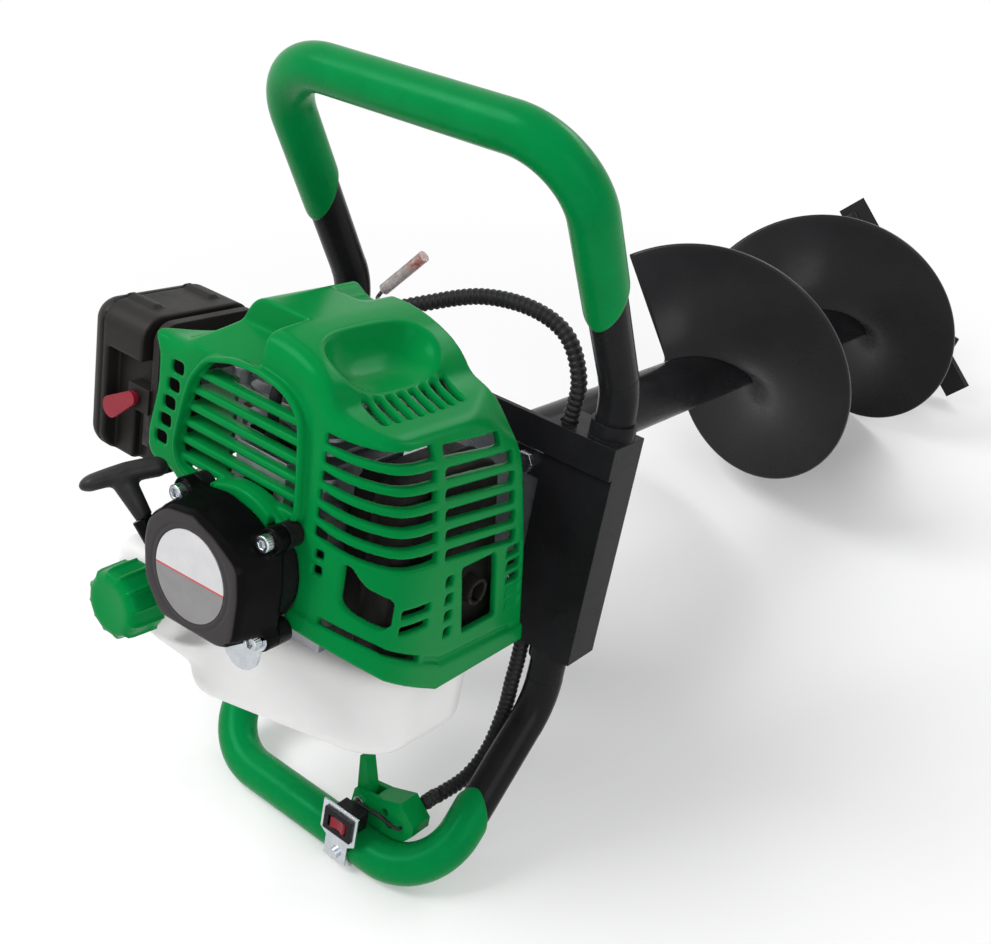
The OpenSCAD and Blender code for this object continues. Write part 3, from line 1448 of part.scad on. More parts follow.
// Clear sleeve over the stop wire's connector, standing up behind the cover
sleeve_foot = [-65, 213, 118];
sleeve_tip = [-36, 213, 150];
tap_at = conduit_len * 0.165;
tap_dir = route_dir(tap_at);
tap_up = unit([0, 0, 1] - tap_dir.z * tap_dir);
tap = route_at(tap_at) + tap_up * (conduit_r + wire_r + seat);
module connector_sleeve() {
    color("#d9cfd0") place() {
        rod(sleeve_foot, sleeve_tip, 4);
        bent_rod([sleeve_foot + [2, 0, 2], sleeve_foot + [-6, 0, -7], tap], [4], wire_r);
    }
}

side_bracket_right();
side_bracket_left();
cross_strap();
upper_handle_tube();
lower_handle_tube();
upper_grip();
lower_grip();
gearbox_housing();
clutch_housing();
gearbox_bolts();
gearbox_bearings();
clutch_drum();
clutch_shoes();
layshaft_gear();
output_gear();
output_shaft();
hitch_pin();
auger_tube();
auger_flight();
auger_blades();
auger_point();
crankcase();
crank_bearings();
crankshaft();
connecting_rod();
piston();
cylinder_barrel();
cylinder_bolts();
flywheel();
ignition_coil();
spark_plug();
plug_boot();
engine_cover();
muffler();
intake_insulator();
carburettor();
air_filter_base();
air_filter_element();
air_filter_cover();
choke_lever();
fan_case();
starter_housing();
starter_screws();
starter_plate();
starter_reel();
starter_spring();
starter_handle();
fuel_tank();
fuel_cap();
fuel_hose();
tank_guard();
throttle_housing();
throttle_trigger();
trigger_pin();
switch_bracket();
switch_body();
switch_rocker();
switch_wires();
throttle_conduit();
connector_sleeve();
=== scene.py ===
import json
import math
from functools import reduce
import bmesh
import bpy
import numpy as np
from mathutils import Matrix, Vector


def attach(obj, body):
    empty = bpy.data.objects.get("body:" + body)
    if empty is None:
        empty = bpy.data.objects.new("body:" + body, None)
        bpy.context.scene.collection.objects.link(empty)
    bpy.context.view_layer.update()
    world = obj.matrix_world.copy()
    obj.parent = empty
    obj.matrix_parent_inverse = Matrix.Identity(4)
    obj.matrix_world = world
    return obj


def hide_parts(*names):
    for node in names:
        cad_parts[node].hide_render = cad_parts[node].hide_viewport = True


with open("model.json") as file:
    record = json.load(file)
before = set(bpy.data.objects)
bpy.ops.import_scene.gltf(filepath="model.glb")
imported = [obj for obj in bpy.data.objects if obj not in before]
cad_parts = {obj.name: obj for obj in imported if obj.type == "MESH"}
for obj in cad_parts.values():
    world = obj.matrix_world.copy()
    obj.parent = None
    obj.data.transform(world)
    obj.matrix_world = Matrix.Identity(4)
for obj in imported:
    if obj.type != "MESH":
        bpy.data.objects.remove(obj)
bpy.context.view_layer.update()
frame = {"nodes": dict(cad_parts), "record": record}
RECORD = frame["record"]
NODES = frame["nodes"]
scene = bpy.context.scene

# The machine's own axes, in millimetres: the crank along y, the cylinder along z.
# The machine stands tilted on its lower crossbar and the auger's rim.
BAR_Y, BAR_Z, GRIP_R = 139.8, -247.0, 14.8
spin = [j for j in RECORD["behaviour"]["joints"] if j["name"] == "auger_spin"][0]["axis"]
TILT = math.atan2(-spin[2], spin[1])
COS, SIN = math.cos(TILT), math.sin(TILT)


def turned(p):
    """A direction of the machine's own axes in the frame's."""
    p = np.asarray(p, float)
    x, y, z = p[..., 0], p[..., 1], p[..., 2]
    return np.stack([x, COS * y + SIN * z, COS * z - SIN * y], -1)


def placed(p):
    """Machine millimetres to the frame's metres."""
    p = np.asarray(p, float) - np.array([0, BAR_Y, BAR_Z])
    return (turned(p) + np.array([0, 0, GRIP_R])) / 1000


# Camera, fitted to the photo, in the machine's own axes
PHOTO_W, FOCAL_PX, SENSOR_W = 991, 1267.946, 36
CAM_AT = (459.1, -425.9, 377.1)
CAM_RIGHT = (0.78407, 0.59609, 0.17293)
CAM_DOWN = (0.38084, -0.24205, -0.8924)
CAM_AHEAD = (-0.4901, 0.76556, -0.4168)
cam = bpy.data.objects.new("camera", bpy.data.cameras.new("camera"))
scene.collection.objects.link(cam)
cam.data.sensor_width = SENSOR_W
cam.data.lens = SENSOR_W * FOCAL_PX / PHOTO_W
cam.data.clip_start = 0.01
right, down, ahead = (turned(v) for v in (CAM_RIGHT, CAM_DOWN, CAM_AHEAD))
pose = Matrix.Identity(4)
for i in range(3):
    pose[i][0], pose[i][1], pose[i][2] = right[i], -down[i], -ahead[i]
pose.translation = Vector(placed(CAM_AT))
cam.matrix_world = pose
scene.camera = cam

# Materials
NOISE_BAND = (0.3, 0.7)  # where nearly all of a noise's values lie
BEVEL_SAMPLES = 4
SHARP, FLAT = 0.7, 0.98  # dot of the rounded and the true normal


class Graph:
    """A Principled material with helpers for its nodes."""

    def __init__(self, name):
        self.mat = bpy.data.materials.new(name)
        self.mat.use_nodes = True
        self.nodes = self.mat.node_tree.nodes
        self.links = self.mat.node_tree.links
        self.shader = self.nodes["Principled BSDF"]
        self.coords = self.nodes.new("ShaderNodeTexCoord").outputs["Object"]

    def feed(self, sock, value):
        """Link another node's output to a socket, or set a plain value on it."""
        if isinstance(value, bpy.types.NodeSocket):
            self.links.new(value, sock)
        else:
            sock.default_value = value

    def add(self, kind, values=None, **inputs):
        """A node with its settings, and its inputs by name or, as i0, i1 and so on, by number."""
        node = self.nodes.new("ShaderNode" + kind)
        for key, value in (values or {}).items():
            setattr(node, key, value)
        for key, value in inputs.items():
            numbered = key[0] == "i" and key[1:].isdigit()
            self.feed(node.inputs[int(key[1:]) if numbered else key.replace("_", " ")], value)
        return node

    def put(self, **inputs):
        for key, value in inputs.items():
            self.feed(self.shader.inputs[key.replace("_", " ")], value)

    def noise(self, scale, detail=4.0, rough=0.55, vector=None):
        node = self.add("TexNoise", Scale=scale, Detail=detail, Roughness=rough, Vector=vector or self.coords)
        return node.outputs["Fac"]

    def span(self, fac, at_low, at_high, low, high):
        """at_low where fac is low, at_high where it is high, and between them in step."""
        return self.add("MapRange", i0=fac, i1=low, i2=high, i3=at_low, i4=at_high).outputs[0]

    def mix(self, fac, a, b):
        """Colour a, and b where fac is 1."""
        node = self.add("Mix", {"data_type": "RGBA"}, i0=fac)
        for sock, colour in ((node.inputs[6], a), (node.inputs[7], b)):
            self.feed(sock, colour + (1.0,) if isinstance(colour, tuple) else colour)
        return node.outputs[2]

    def mottle(self, noise, a, b, band=NOISE_BAND):
        return self.mix(self.span(noise, 0.0, 1.0, *band), a, b)

    def calc(self, op, a, b=0.0):
        return self.add("Math", {"operation": op}, i0=a, i1=b).outputs[0]

    def along(self, origin, way):
        """How far a point lies from the origin along a direction, in metres."""
        off = self.add("VectorMath", {"operation": "SUBTRACT"}, i0=self.coords, i1=tuple(origin))
        run = self.add("VectorMath", {"operation": "DOT_PRODUCT"}, i0=off.outputs[0], i1=tuple(way))
        return run.outputs["Value"]

    def rounded(self, radius):
        """The normal, rounded over sharp edges."""
        return self.add("Bevel", {"samples": BEVEL_SAMPLES}, Radius=radius).outputs[0]

    def sharpness(self, soft):
        """1 on a sharp edge, where the rounded normal leaves the true one, and 0 on a flat face."""
        true = self.nodes.new("ShaderNodeNewGeometry").outputs["Normal"]
        dot = self.add("VectorMath", {"operation": "DOT_PRODUCT"}, i0=soft, i1=true)
        return self.span(dot.outputs["Value"], 1.0, 0.0, SHARP, FLAT)

    def bump(self, height, strength, distance, normal):
        node = self.add("Bump", Strength=strength, Distance=distance, Height=height, Normal=normal)
        self.put(Normal=node.outputs[0])


def finish(name, base, alt, rough, spots, grain, bump, depth, edge_r, edge_wear_and_highlight=None, edge_share=0.5, metal=0.0,
           specular=0.5, tint=(1.0, 1.0, 1.0), scuff=None):
    """Two tones in clouds, lighter edges that are partly wear and partly a painted edge highlight, uneven gloss and
    grain. Scales are per metre, depths in metres.
    """
    g = Graph(name)
    g.put(Metallic=metal, Specular_IOR_Level=specular, Specular_Tint=tint + (1.0,))
    tone = g.mottle(g.noise(spots, 5.0, 0.6), base, alt)
    normal = g.rounded(edge_r)
    if edge_wear_and_highlight:
        # Sharp edges take a lighter tone in patches: partly wear, partly a painted edge highlight.
        wear_and_highlight_patches = g.span(g.noise(spots * 4, 6.0, 0.7), 0.0, edge_share, 0.42, 0.68)
        tone = g.mix(g.calc("MULTIPLY", g.sharpness(normal), wear_and_highlight_patches), tone, edge_wear_and_highlight)
    gloss = g.span(g.noise(spots * 1.7, 6.0, 0.65), rough[0], rough[1], *NOISE_BAND)
    if scuff:
        streak = g.add("Mapping", Scale=scuff, Vector=g.coords).outputs[0]
        gloss = g.calc("ADD", gloss, g.span(g.noise(1.0, 5.0, 0.7, streak), 0.0, 0.16, 0.58, 0.8))
    g.put(Base_Color=tone, Roughness=gloss)
    g.bump(g.noise(grain, 3.0, 0.6), bump, depth, normal)
    return g


GREEN_TINT = (0.12, 1.0, 0.5)
# Each finish's edge tone is a lighter colour on sharp edges, partly wear and partly a painted edge highlight.
FINISHES = {
    "black_paint": dict(
        name="gloss_black_paint", base=(0.0095, 0.0095, 0.0105), alt=(0.015, 0.015, 0.0165), rough=(0.17, 0.3),
        spots=22.0, grain=420.0, bump=0.06, depth=0.0005, edge_r=0.0008, edge_wear_and_highlight=(0.055, 0.055, 0.06),
        specular=0.065, scuff=(260.0, 30.0, 260.0)),
    "flight_paint": dict(
        name="satin_black_paint", base=(0.0095, 0.0095, 0.0104), alt=(0.015, 0.015, 0.0164), rough=(0.22, 0.35),
        spots=14.0, grain=260.0, bump=0.08, depth=0.0007, edge_r=0.001, edge_wear_and_highlight=(0.07, 0.07, 0.075),
        edge_share=0.6, specular=0.15, scuff=(160.0, 20.0, 160.0)),
    "green_plastic": dict(
        name="gloss_green_moulding", base=(0.0014, 0.222, 0.047), alt=(0.0012, 0.198, 0.041), rough=(0.17, 0.27),
        spots=18.0, grain=900.0, bump=0.035, depth=0.0003, edge_r=0.0007, edge_wear_and_highlight=(0.008, 0.31, 0.08),
        edge_share=0.55, specular=0.075, tint=GREEN_TINT),
    "green_grip": dict(
        name="green_grip_sleeve", base=(0.0014, 0.216, 0.05), alt=(0.0012, 0.186, 0.042), rough=(0.22, 0.34),
        spots=26.0, grain=700.0, bump=0.06, depth=0.0004, edge_r=0.0007, edge_wear_and_highlight=(0.008, 0.3, 0.08),
        edge_share=0.4, specular=0.105, tint=GREEN_TINT, scuff=(90.0, 90.0, 90.0)),
    "cast_alloy": dict(
        name="cast_alloy", base=(0.36, 0.37, 0.39), alt=(0.25, 0.26, 0.28), rough=(0.38, 0.58),
        spots=55.0, grain=900.0, bump=0.25, depth=0.0006, edge_r=0.0008, edge_wear_and_highlight=(0.62, 0.62, 0.63), metal=0.9),
    "steel": dict(
        name="machined_steel", base=(0.46, 0.46, 0.48), alt=(0.33, 0.33, 0.35), rough=(0.24, 0.4),
        spots=60.0, grain=1500.0, bump=0.08, depth=0.0003, edge_r=0.0004, edge_wear_and_highlight=(0.66, 0.66, 0.67),
        edge_share=0.4, metal=1.0, scuff=(60.0, 900.0, 60.0)),
    "zinc": dict(
        name="bright_zinc", base=(0.62, 0.65, 0.69), alt=(0.5, 0.53, 0.56), rough=(0.18, 0.34),
        spots=120.0, grain=1400.0, bump=0.06, depth=0.0003, edge_r=0.0005, edge_wear_and_highlight=(0.78, 0.8, 0.82),
        edge_share=0.4, metal=1.0),
    "black_plastic": dict(
        name="gloss_black_moulding", base=(0.007, 0.007, 0.008), alt=(0.012, 0.012, 0.013), rough=(0.2, 0.33),
        spots=30.0, grain=800.0, bump=0.06, depth=0.0003, edge_r=0.0009, edge_wear_and_highlight=(0.03, 0.03, 0.033),
        specular=0.1),
    "filter_black": dict(
        name="grained_black_moulding", base=(0.0095, 0.0088, 0.0083), alt=(0.017, 0.015, 0.0138), rough=(0.4, 0.55),
        spots=16.0, grain=1300.0, bump=0.18, depth=0.0004, edge_r=0.0012, edge_wear_and_highlight=(0.045, 0.041, 0.037),
        specular=0.15),
    "red_plastic": dict(
        name="red_moulding", base=(0.26, 0.01, 0.025), alt=(0.2, 0.007, 0.018), rough=(0.25, 0.4),
        spots=80.0, grain=900.0, bump=0.06, depth=0.0003, edge_r=0.0006, edge_wear_and_highlight=(0.42, 0.05, 0.07),
        specular=0.25),
    "black_rubber": dict(
        name="satin_rubber", base=(0.012, 0.012, 0.0125), alt=(0.022, 0.022, 0.022), rough=(0.36, 0.55),
        spots=90.0, grain=1500.0, bump=0.12, depth=0.0003, edge_r=0.0004, edge_wear_and_highlight=(0.04, 0.04, 0.04),
        edge_share=0.4, specular=0.17),
    "filter_foam": dict(
        name="open_foam", base=(0.05, 0.05, 0.052), alt=(0.09, 0.09, 0.09), rough=(0.8, 0.95),
        spots=200.0, grain=1100.0, bump=0.9, depth=0.0015, edge_r=0.0004),
    "muffler_steel": dict(
        name="heat_dark_sheet", base=(0.009, 0.0088, 0.0086), alt=(0.02, 0.0175, 0.0155), rough=(0.5, 0.75),
        spots=40.0, grain=900.0, bump=0.2, depth=0.0005, edge_r=0.0008, edge_wear_and_highlight=(0.06, 0.053, 0.047),
        metal=0.3, specular=0.15),
    "insulator": dict(
        name="brown_phenolic", base=(0.05, 0.034, 0.022), alt=(0.075, 0.052, 0.036), rough=(0.45, 0.6),
        spots=90.0, grain=1200.0, bump=0.1, depth=0.0004, edge_r=0.0006),
    "tank_white": dict(
        name="milky_tank", base=(0.82, 0.812, 0.81), alt=(0.755, 0.75, 0.752), rough=(0.34, 0.46),
        spots=14.0, grain=700.0, bump=0.06, depth=0.0004, edge_r=0.0012, edge_wear_and_highlight=(0.86, 0.86, 0.855),
        edge_share=0.4),
    "starter_black": dict(
        name="starter_black", base=(0.0024, 0.0024, 0.0027), alt=(0.0043, 0.0043, 0.0048), rough=(0.16, 0.28),
        spots=30.0, grain=800.0, bump=0.06, depth=0.0003, edge_r=0.0009, edge_wear_and_highlight=(0.02, 0.02, 0.022),
        specular=0.04),
    "clear_plastic": dict(
        name="clear_tube", base=(0.78, 0.76, 0.7), alt=(0.7, 0.67, 0.6), rough=(0.14, 0.28),
        spots=120.0, grain=900.0, bump=0.05, depth=0.0002, edge_r=0.0004),
}
MATS = {key: finish(**values) for key, values in FINISHES.items()}
MATS["tank_white"].put(Subsurface_Weight=0.35, Subsurface_Radius=(0.012, 0.011, 0.010), Subsurface_Scale=0.6)
MATS["clear_plastic"].put(Transmission_Weight=0.55, IOR=1.42)


def starter_face(g):
    """A flat dark grey front face on the gloss black."""
    tone = g.shader.inputs["Base Color"].links[0].from_socket
    face = g.span(g.along(placed((0, 0.9, 0)), turned((0, 1, 0))), 1.0, 0.0, -0.0004, 0.0005)
    g.put(Base_Color=g.mix(face, tone, (0.048, 0.044, 0.046)))


def plate_material():
    """Two greys with a thin red line between them, across the plate's own face."""
    g = Graph("two_tone_plate")
    height = g.along(placed((0, 0, -0.76)), turned((-0.0525, 0, 0.9986)))
    cloud = g.noise(70.0, 5.0, 0.6)
    upper = g.mottle(cloud, (0.59, 0.59, 0.6), (0.53, 0.53, 0.545))
    lower = g.mottle(cloud, (0.225, 0.22, 0.225), (0.195, 0.19, 0.195))
    tone = g.mix(g.span(height, 0.0, 1.0, -0.0002, 0.0002), lower, upper)
    line = g.span(g.calc("ABSOLUTE", height), 1.0, 0.0, 0.0004, 0.0008)
    tone = g.mix(line, tone, (0.5, 0.045, 0.045))
    g.put(Base_Color=tone, Roughness=g.span(g.noise(160.0), 0.3, 0.48, *NOISE_BAND))
    g.bump(g.noise(1400.0), 0.05, 0.0002, g.rounded(0.0004))
    return g


def sleeve_material():
    """Clear with a crumpled filling, reddish towards its tip and black at its foot."""
    g = Graph("clear_sleeve")
    along = g.along(placed((-65, 213, 118)), turned((29, 0, 32)) / 43.19)
    cloud = g.noise(260.0, 5.0, 0.7)
    body = g.mottle(cloud, (0.66, 0.62, 0.6), (0.34, 0.3, 0.29), (0.35, 0.65))
    tip = g.mottle(cloud, (0.42, 0.1, 0.07), (0.6, 0.5, 0.46), (0.4, 0.6))
    tone = g.mix(g.span(along, 0.0, 1.0, 0.026, 0.034), body, tip)
    tone = g.mix(g.span(along, 1.0, 0.0, -0.003, 0.0), tone, (0.015, 0.015, 0.015))
    g.put(Base_Color=tone, Roughness=g.span(cloud, 0.08, 0.3, *NOISE_BAND),
          Transmission_Weight=g.span(along, 0.0, 0.45, -0.001, 0.002), IOR=1.45)
    g.bump(g.noise(420.0), 0.35, 0.0006, g.rounded(0.0008))
    return g


starter_face(MATS["starter_black"])
MATS["starter_plate"] = plate_material()
MATS["sleeve"] = sleeve_material()

# CAD nodes take the finish of their slot, apart from these
OWN_FINISH = {"air_filter_cover": "filter_black", "air_filter_base": "filter_black", "connector_sleeve": "sleeve",
              "ignition_coil": "cast_alloy", "auger_blades": "flight_paint"}
SLOT_OF = {row["node"]: row["material_slot"] for row in RECORD["subparts"]}
for name, obj in NODES.items():
    obj.data.materials.clear()
    obj.data.materials.append(MATS[OWN_FINISH.get(name, SLOT_OF[name])].mat)


# Mesh helpers
def piece(name, points, faces, body, key, slot, node, smooth=True):
    """A mesh from machine millimetres, in the finish key, that rides a body and stands for a CAD node."""
    mesh = bpy.data.meshes.new(name)
    mesh.from_pydata([tuple(p) for p in placed(points)], [], [tuple(f) for f in faces])
    mesh.validate()
    bm = bmesh.new()
    bm.from_mesh(mesh)
    bmesh.ops.recalc_face_normals(bm, faces=bm.faces)
    bm.to_mesh(mesh)
    bm.free()
    if smooth:
        mesh.polygons.foreach_set("use_smooth", [True] * len(mesh.polygons))
    obj = bpy.data.objects.new(name, mesh)
    scene.collection.objects.link(obj)
    mesh.materials.append(MATS[key].mat)
    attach(obj, body)
    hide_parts(node)
    return obj


def unit(v):
    v = np.asarray(v, float)
    return v / np.linalg.norm(v)


def rings_to_faces(count, sides, closed_ends=True):
    faces = [(i * sides + k, i * sides + (k + 1) % sides, (i + 1) * sides + (k + 1) % sides, (i + 1) * sides + k)
             for i in range(count - 1) for k in range(sides)]
    if closed_ends:
        faces.append(tuple(range(sides))[::-1])
        faces.append(tuple(range((count - 1) * sides, count * sides)))
    return faces


def run_lengths(path):
    """How far along a path each of its points lies."""
    return np.concatenate([[0], np.cumsum(np.linalg.norm(np.diff(path, axis=0), axis=1))])


def path_length(path):
    return float(np.linalg.norm(np.diff(path, axis=0), axis=1).sum())


def carried_frames(path):
    """Two side vectors for each point of a path, turned as little as possible along it."""
    tangents = np.gradient(path, axis=0)
    tangents /= np.linalg.norm(tangents, axis=1)[:, None]
    side = np.cross(tangents[0], (0.31, 0.42, 0.85))
    sides = []
    for t in tangents:
        side = side - np.dot(side, t) * t
        side = side / np.linalg.norm(side)
        sides.append(side)
    sides = np.array(sides)
    return sides, np.cross(tangents, sides)


def tube(path, radii, sides):
    radii = np.broadcast_to(np.asarray(radii, float), (len(path),))
    u, v = carried_frames(path)
    a = np.arange(sides) * 2 * np.pi / sides
    return (path[:, None] + radii[:, None, None] * (np.cos(a)[None, :, None] * u[:, None]
                                                   + np.sin(a)[None, :, None] * v[:, None])).reshape(-1, 3)


def bent_path(points, radii, step=1.5):
    """Straight runs joined by arcs of the given radii, as points a step apart."""
    pts = [np.asarray(p, float) for p in points]
    out = [pts[0]]
    for i, r in enumerate(radii):
        a, b, c = pts[i], pts[i + 1], pts[i + 2]
        u, v = unit(a - b), unit(c - b)
        half = math.acos(max(-1.0, min(1.0, float(np.dot(u, v))))) / 2
        cut = r / math.tan(half)
        centre = b + unit(u + v) * (r / math.sin(half))
        p, q = b + u * cut, b + v * cut
        sweep = math.pi - 2 * half
        e0 = unit(p - centre)
        e1 = unit((q - centre) - np.dot(q - centre, e0) * e0)
        n = max(6, int(r * sweep / step))
        for k in range(n + 1):
            w = sweep * k / n
            out.append(centre + r * (math.cos(w) * e0 + math.sin(w) * e1))
    out.append(pts[-1])
    dense = [out[0]]
    for a, b in zip(out, out[1:]):
        n = max(1, int(np.linalg.norm(b - a) / step))
        dense += [a + (b - a) * (k + 1) / n for k in range(n)]
    return np.array(dense)


def catmull(route, per=60):
    """A smooth curve through the points of a route."""
    n = len(route) - 1
    out = []
    for i in range(n):
        a, b, c, d = (route[max(0, min(n, i + k))] for k in (-1, 0, 1, 2))
        for u in np.arange(per) / per:
            out.append(0.5 * (2 * b + (c - a) * u + (2 * a - 5 * b + 4 * c - d) * u * u
                              + (3 * b - a - 3 * c + d) * u ** 3))
    return np.array(out + [route[-1]])


def resample(path, count):
    s = run_lengths(path)
    want = np.linspace(0, s[-1], count)
    return np.stack([np.interp(want, s, path[:, k]) for k in range(3)], 1)


# Cords, each fixed to the machine at both ends
def cord(name, line, radii, sides, key, node):
    obj = piece(name, tube(line, radii, sides), rings_to_faces(len(line), sides), "machine", key, key, node)


ROUTE = np.array([
    (-71, 116.3, 58), (-71, 130.3, 58), (-69, 150, 67), (-62, 172, 86), (-50, 196, 108), (-25, 217, 122),
    (8, 226, 135), (44, 230, 138), (72, 231, 129), (87, 231, 104), (86, 231.9, 74), (86, 231.9, 30),
    (86, 231.9, -30), (86, 231.9, -100), (86, 230, -124), (86, 228, -150), (85, 218, -180),
    (81, 203, -199), (76, 182, -206), (75, 177.1, -206), (75, 165.1, -206)], float)
RIBS, RIB_STEPS = 150, 8
line = resample(catmull(ROUTE), RIBS * RIB_STEPS + 1)
phase = np.arange(len(line)) % RIB_STEPS / RIB_STEPS
swell = np.clip(1.25 * np.sin(np.pi * np.clip(phase * 1.45, 0, 1)), 0, 1) ** 0.7
cord("ribbed_conduit", line, 5.5 * (0.87 + 0.13 * swell), 18, "black_rubber", "throttle_conduit")

line = bent_path([(-88, 72, -30.0), (-88, 72, -6.3), (-84, 91, 18.8), (-84, 91, 34.8)], [14, 12])
cord("fuel_line", line, 3.0, 20, "clear_plastic", "fuel_hose")

# Each wire: number, ends in x, height, how far out it lies, rise of its middle and radius there
for number, x0, x1, z0, dip, rise, bend in ((1, 32, 72, -219, 143.1, 0.5, 40), (2, 42, 64, -223, 143.9, 11.0, 14)):
    line = bent_path([(x0, 140.0, z0), (x0, dip, z0), ((x0 + x1) / 2, dip, z0 + rise), (x1, dip, z0),
                      (x1, 146.8, z0)], [2.4, bend, 2.4], 0.5)
    cord("switch_wire_%d" % number, line, 1.2, 12, "black_rubber", "switch_wires")


# Moulded pieces: a smooth solid written as a field, below zero inside, and meshed
def fillet(poly, r, n=6):
    """A polygon with its corners rounded."""
    pts = [np.asarray(p, float) for p in poly]
    out = []
    for i, b in enumerate(pts):
        a, c = pts[i - 1], pts[(i + 1) % len(pts)]
        la, lc = np.linalg.norm(a - b), np.linalg.norm(c - b)
        cut = min(r, 0.48 * la, 0.48 * lc)
        p, q = b + (a - b) * cut / la, b + (c - b) * cut / lc
        for k in range(n + 1):
            u = k / n
            out.append((1 - u) ** 2 * p + 2 * u * (1 - u) * b + u * u * q)
    return out


def in_poly(u, v, poly):
    """Signed distance to a polygon."""
    pts = [(float(p[0]), float(p[1])) for p in poly]
    shape = np.broadcast(u, v).shape
    near = np.full(shape, 1e18)
    inside = np.zeros(shape, bool)
    for (ax, ay), (bx, by) in zip(pts, pts[1:] + pts[:1]):
        ex, ey = bx - ax, by - ay
        if ex * ex + ey * ey < 1e-12:
            continue
        wx, wy = u - ax, v - ay
        h = np.clip((wx * ex + wy * ey) / (ex * ex + ey * ey), 0, 1)
        near = np.minimum(near, (wx - ex * h) ** 2 + (wy - ey * h) ** 2)
        if ey:
            inside ^= ((ay <= v) != (by <= v)) & (u < ex * (v - ay) / ey + ax)
    return np.where(inside, -1.0, 1.0) * np.sqrt(near)


def in_rect(u, v, u0, u1, v0, v1, r):
    """Signed distance to a rectangle with rounded corners."""
    du = np.abs(u - (u0 + u1) / 2) - (u1 - u0) / 2 + r
    dv = np.abs(v - (v0 + v1) / 2) - (v1 - v0) / 2 + r
    return np.minimum(np.maximum(du, dv), 0) + np.hypot(np.maximum(du, 0), np.maximum(dv, 0)) - r


def in_box(x, y, z, centre, half, r):
    """Signed distance to a box with rounded edges."""
    q = [np.abs(v - c) - h + r for v, c, h in zip((x, y, z), centre, half)]
    return np.sqrt(sum(np.maximum(v, 0) ** 2 for v in q)) + np.minimum(reduce(np.maximum, q), 0) - r


def slab(v, centre, half):
    """Signed distance to a layer between two planes, or to a wall of a given radius."""
    return np.abs(v - centre) - half


def any_of(fields):
    """What lies in any of the fields, with sharp edges between them."""
    return reduce(np.minimum, fields)


def both(a, b, k):
    """What two fields share, with the edge between them rounded over k."""
    h = np.clip(0.5 + 0.5 * (a - b) / k, 0, 1)
    return b + (a - b) * h + k * h * (1 - h)


def either(a, b, k):
    """Two fields joined, with the corner between them filled over k."""
    return -both(-a, -b, k)


def less(a, b, k):
    """The first field with the second cut out of it."""
    return both(a, -b, k)


CORNERS = [(i, j, k) for i in (0, 1) for j in (0, 1) for k in (0, 1)]
PULLS, PULL_REACH = 3, 0.35  # rounds that draw the points in, and how far each may move one, in steps


def meshed(field, low, high, step):
    """Points and quads of the field's zero surface."""
    axes = [np.arange(lo, hi + step, step) for lo, hi in zip(low, high)]
    x, y, z = axes[0][:, None, None], axes[1][None, :, None], axes[2][None, None, :]
    f = np.ascontiguousarray(np.broadcast_to(field(x, y, z), tuple(len(a) for a in axes)))
    s = f < 0
    mixed = np.zeros(tuple(n - 1 for n in f.shape), np.int8)
    for i, j, k in CORNERS:
        mixed += s[i:f.shape[0] - 1 + i, j:f.shape[1] - 1 + j, k:f.shape[2] - 1 + k]
    cells = np.argwhere((mixed > 0) & (mixed < 8))
    index = np.full(mixed.shape, -1, np.int64)
    index[tuple(cells.T)] = np.arange(len(cells))
    # One point in each cell that the surface crosses, at the mean of its crossings with the cell's edges
    total, hits = np.zeros((len(cells), 3)), np.zeros(len(cells))
    for a in CORNERS:
        for axis in range(3):
            if a[axis]:
                continue
            b = list(a)
            b[axis] = 1
            fa = f[tuple((cells + a).T)]
            fb = f[tuple((cells + b).T)]
            cross = (fa < 0) != (fb < 0)
            u = np.where(cross, fa / np.where(cross, fa - fb, 1), 0)
            at = np.tile(np.asarray(a, float), (len(cells), 1))
            at[:, axis] += u
            total += at * cross[:, None]
            hits += cross
    pts = np.array([ax[0] for ax in axes]) + (cells + total / hits[:, None]) * step
    # One quad round each of the grid's edges that the surface crosses
    quads = []
    for axis in range(3):
        p, q = [k for k in range(3) if k != axis]
        lead = [slice(None)] * 3
        lead[axis] = slice(0, -1)
        tail = [slice(None)] * 3
        tail[axis] = slice(1, None)
        edges = np.argwhere(s[tuple(lead)] != s[tuple(tail)])
        ep, eq = edges[:, p], edges[:, q]
        edges = edges[(ep > 0) & (eq > 0) & (ep < f.shape[p] - 1) & (eq < f.shape[q] - 1)]
        around = []
        for dp, dq in ((-1, -1), (0, -1), (0, 0), (-1, 0)):
            c = edges.copy()
            c[:, p] += dp
            c[:, q] += dq
            around.append(index[tuple(c.T)])
        quads.append(np.stack(around, 1))
    quads = np.concatenate(quads)
    # The points are drawn down the field's gradient onto the surface
    eps = step * 0.05
    for _ in range(PULLS):
        x, y, z = pts.T
        here = field(x, y, z)
        grad = np.stack([field(x + eps, y, z) - field(x - eps, y, z), field(x, y + eps, z) - field(x, y - eps, z),
                         field(x, y, z + eps) - field(x, y, z - eps)], 1) / (2 * eps)
        size = np.maximum((grad * grad).sum(1), 0.05)
        move = -grad * (here / size)[:, None]
        reach = np.linalg.norm(move, axis=1)
        move *= np.minimum(1, PULL_REACH * step / np.maximum(reach, 1e-9))[:, None]
        pts = pts + move
    return pts, quads


def moulded(name, field, low, high, step, body, key, slot, node):
    pts, quads = meshed(field, low, high, step)
    piece(name, pts, quads, body, key, slot, node)


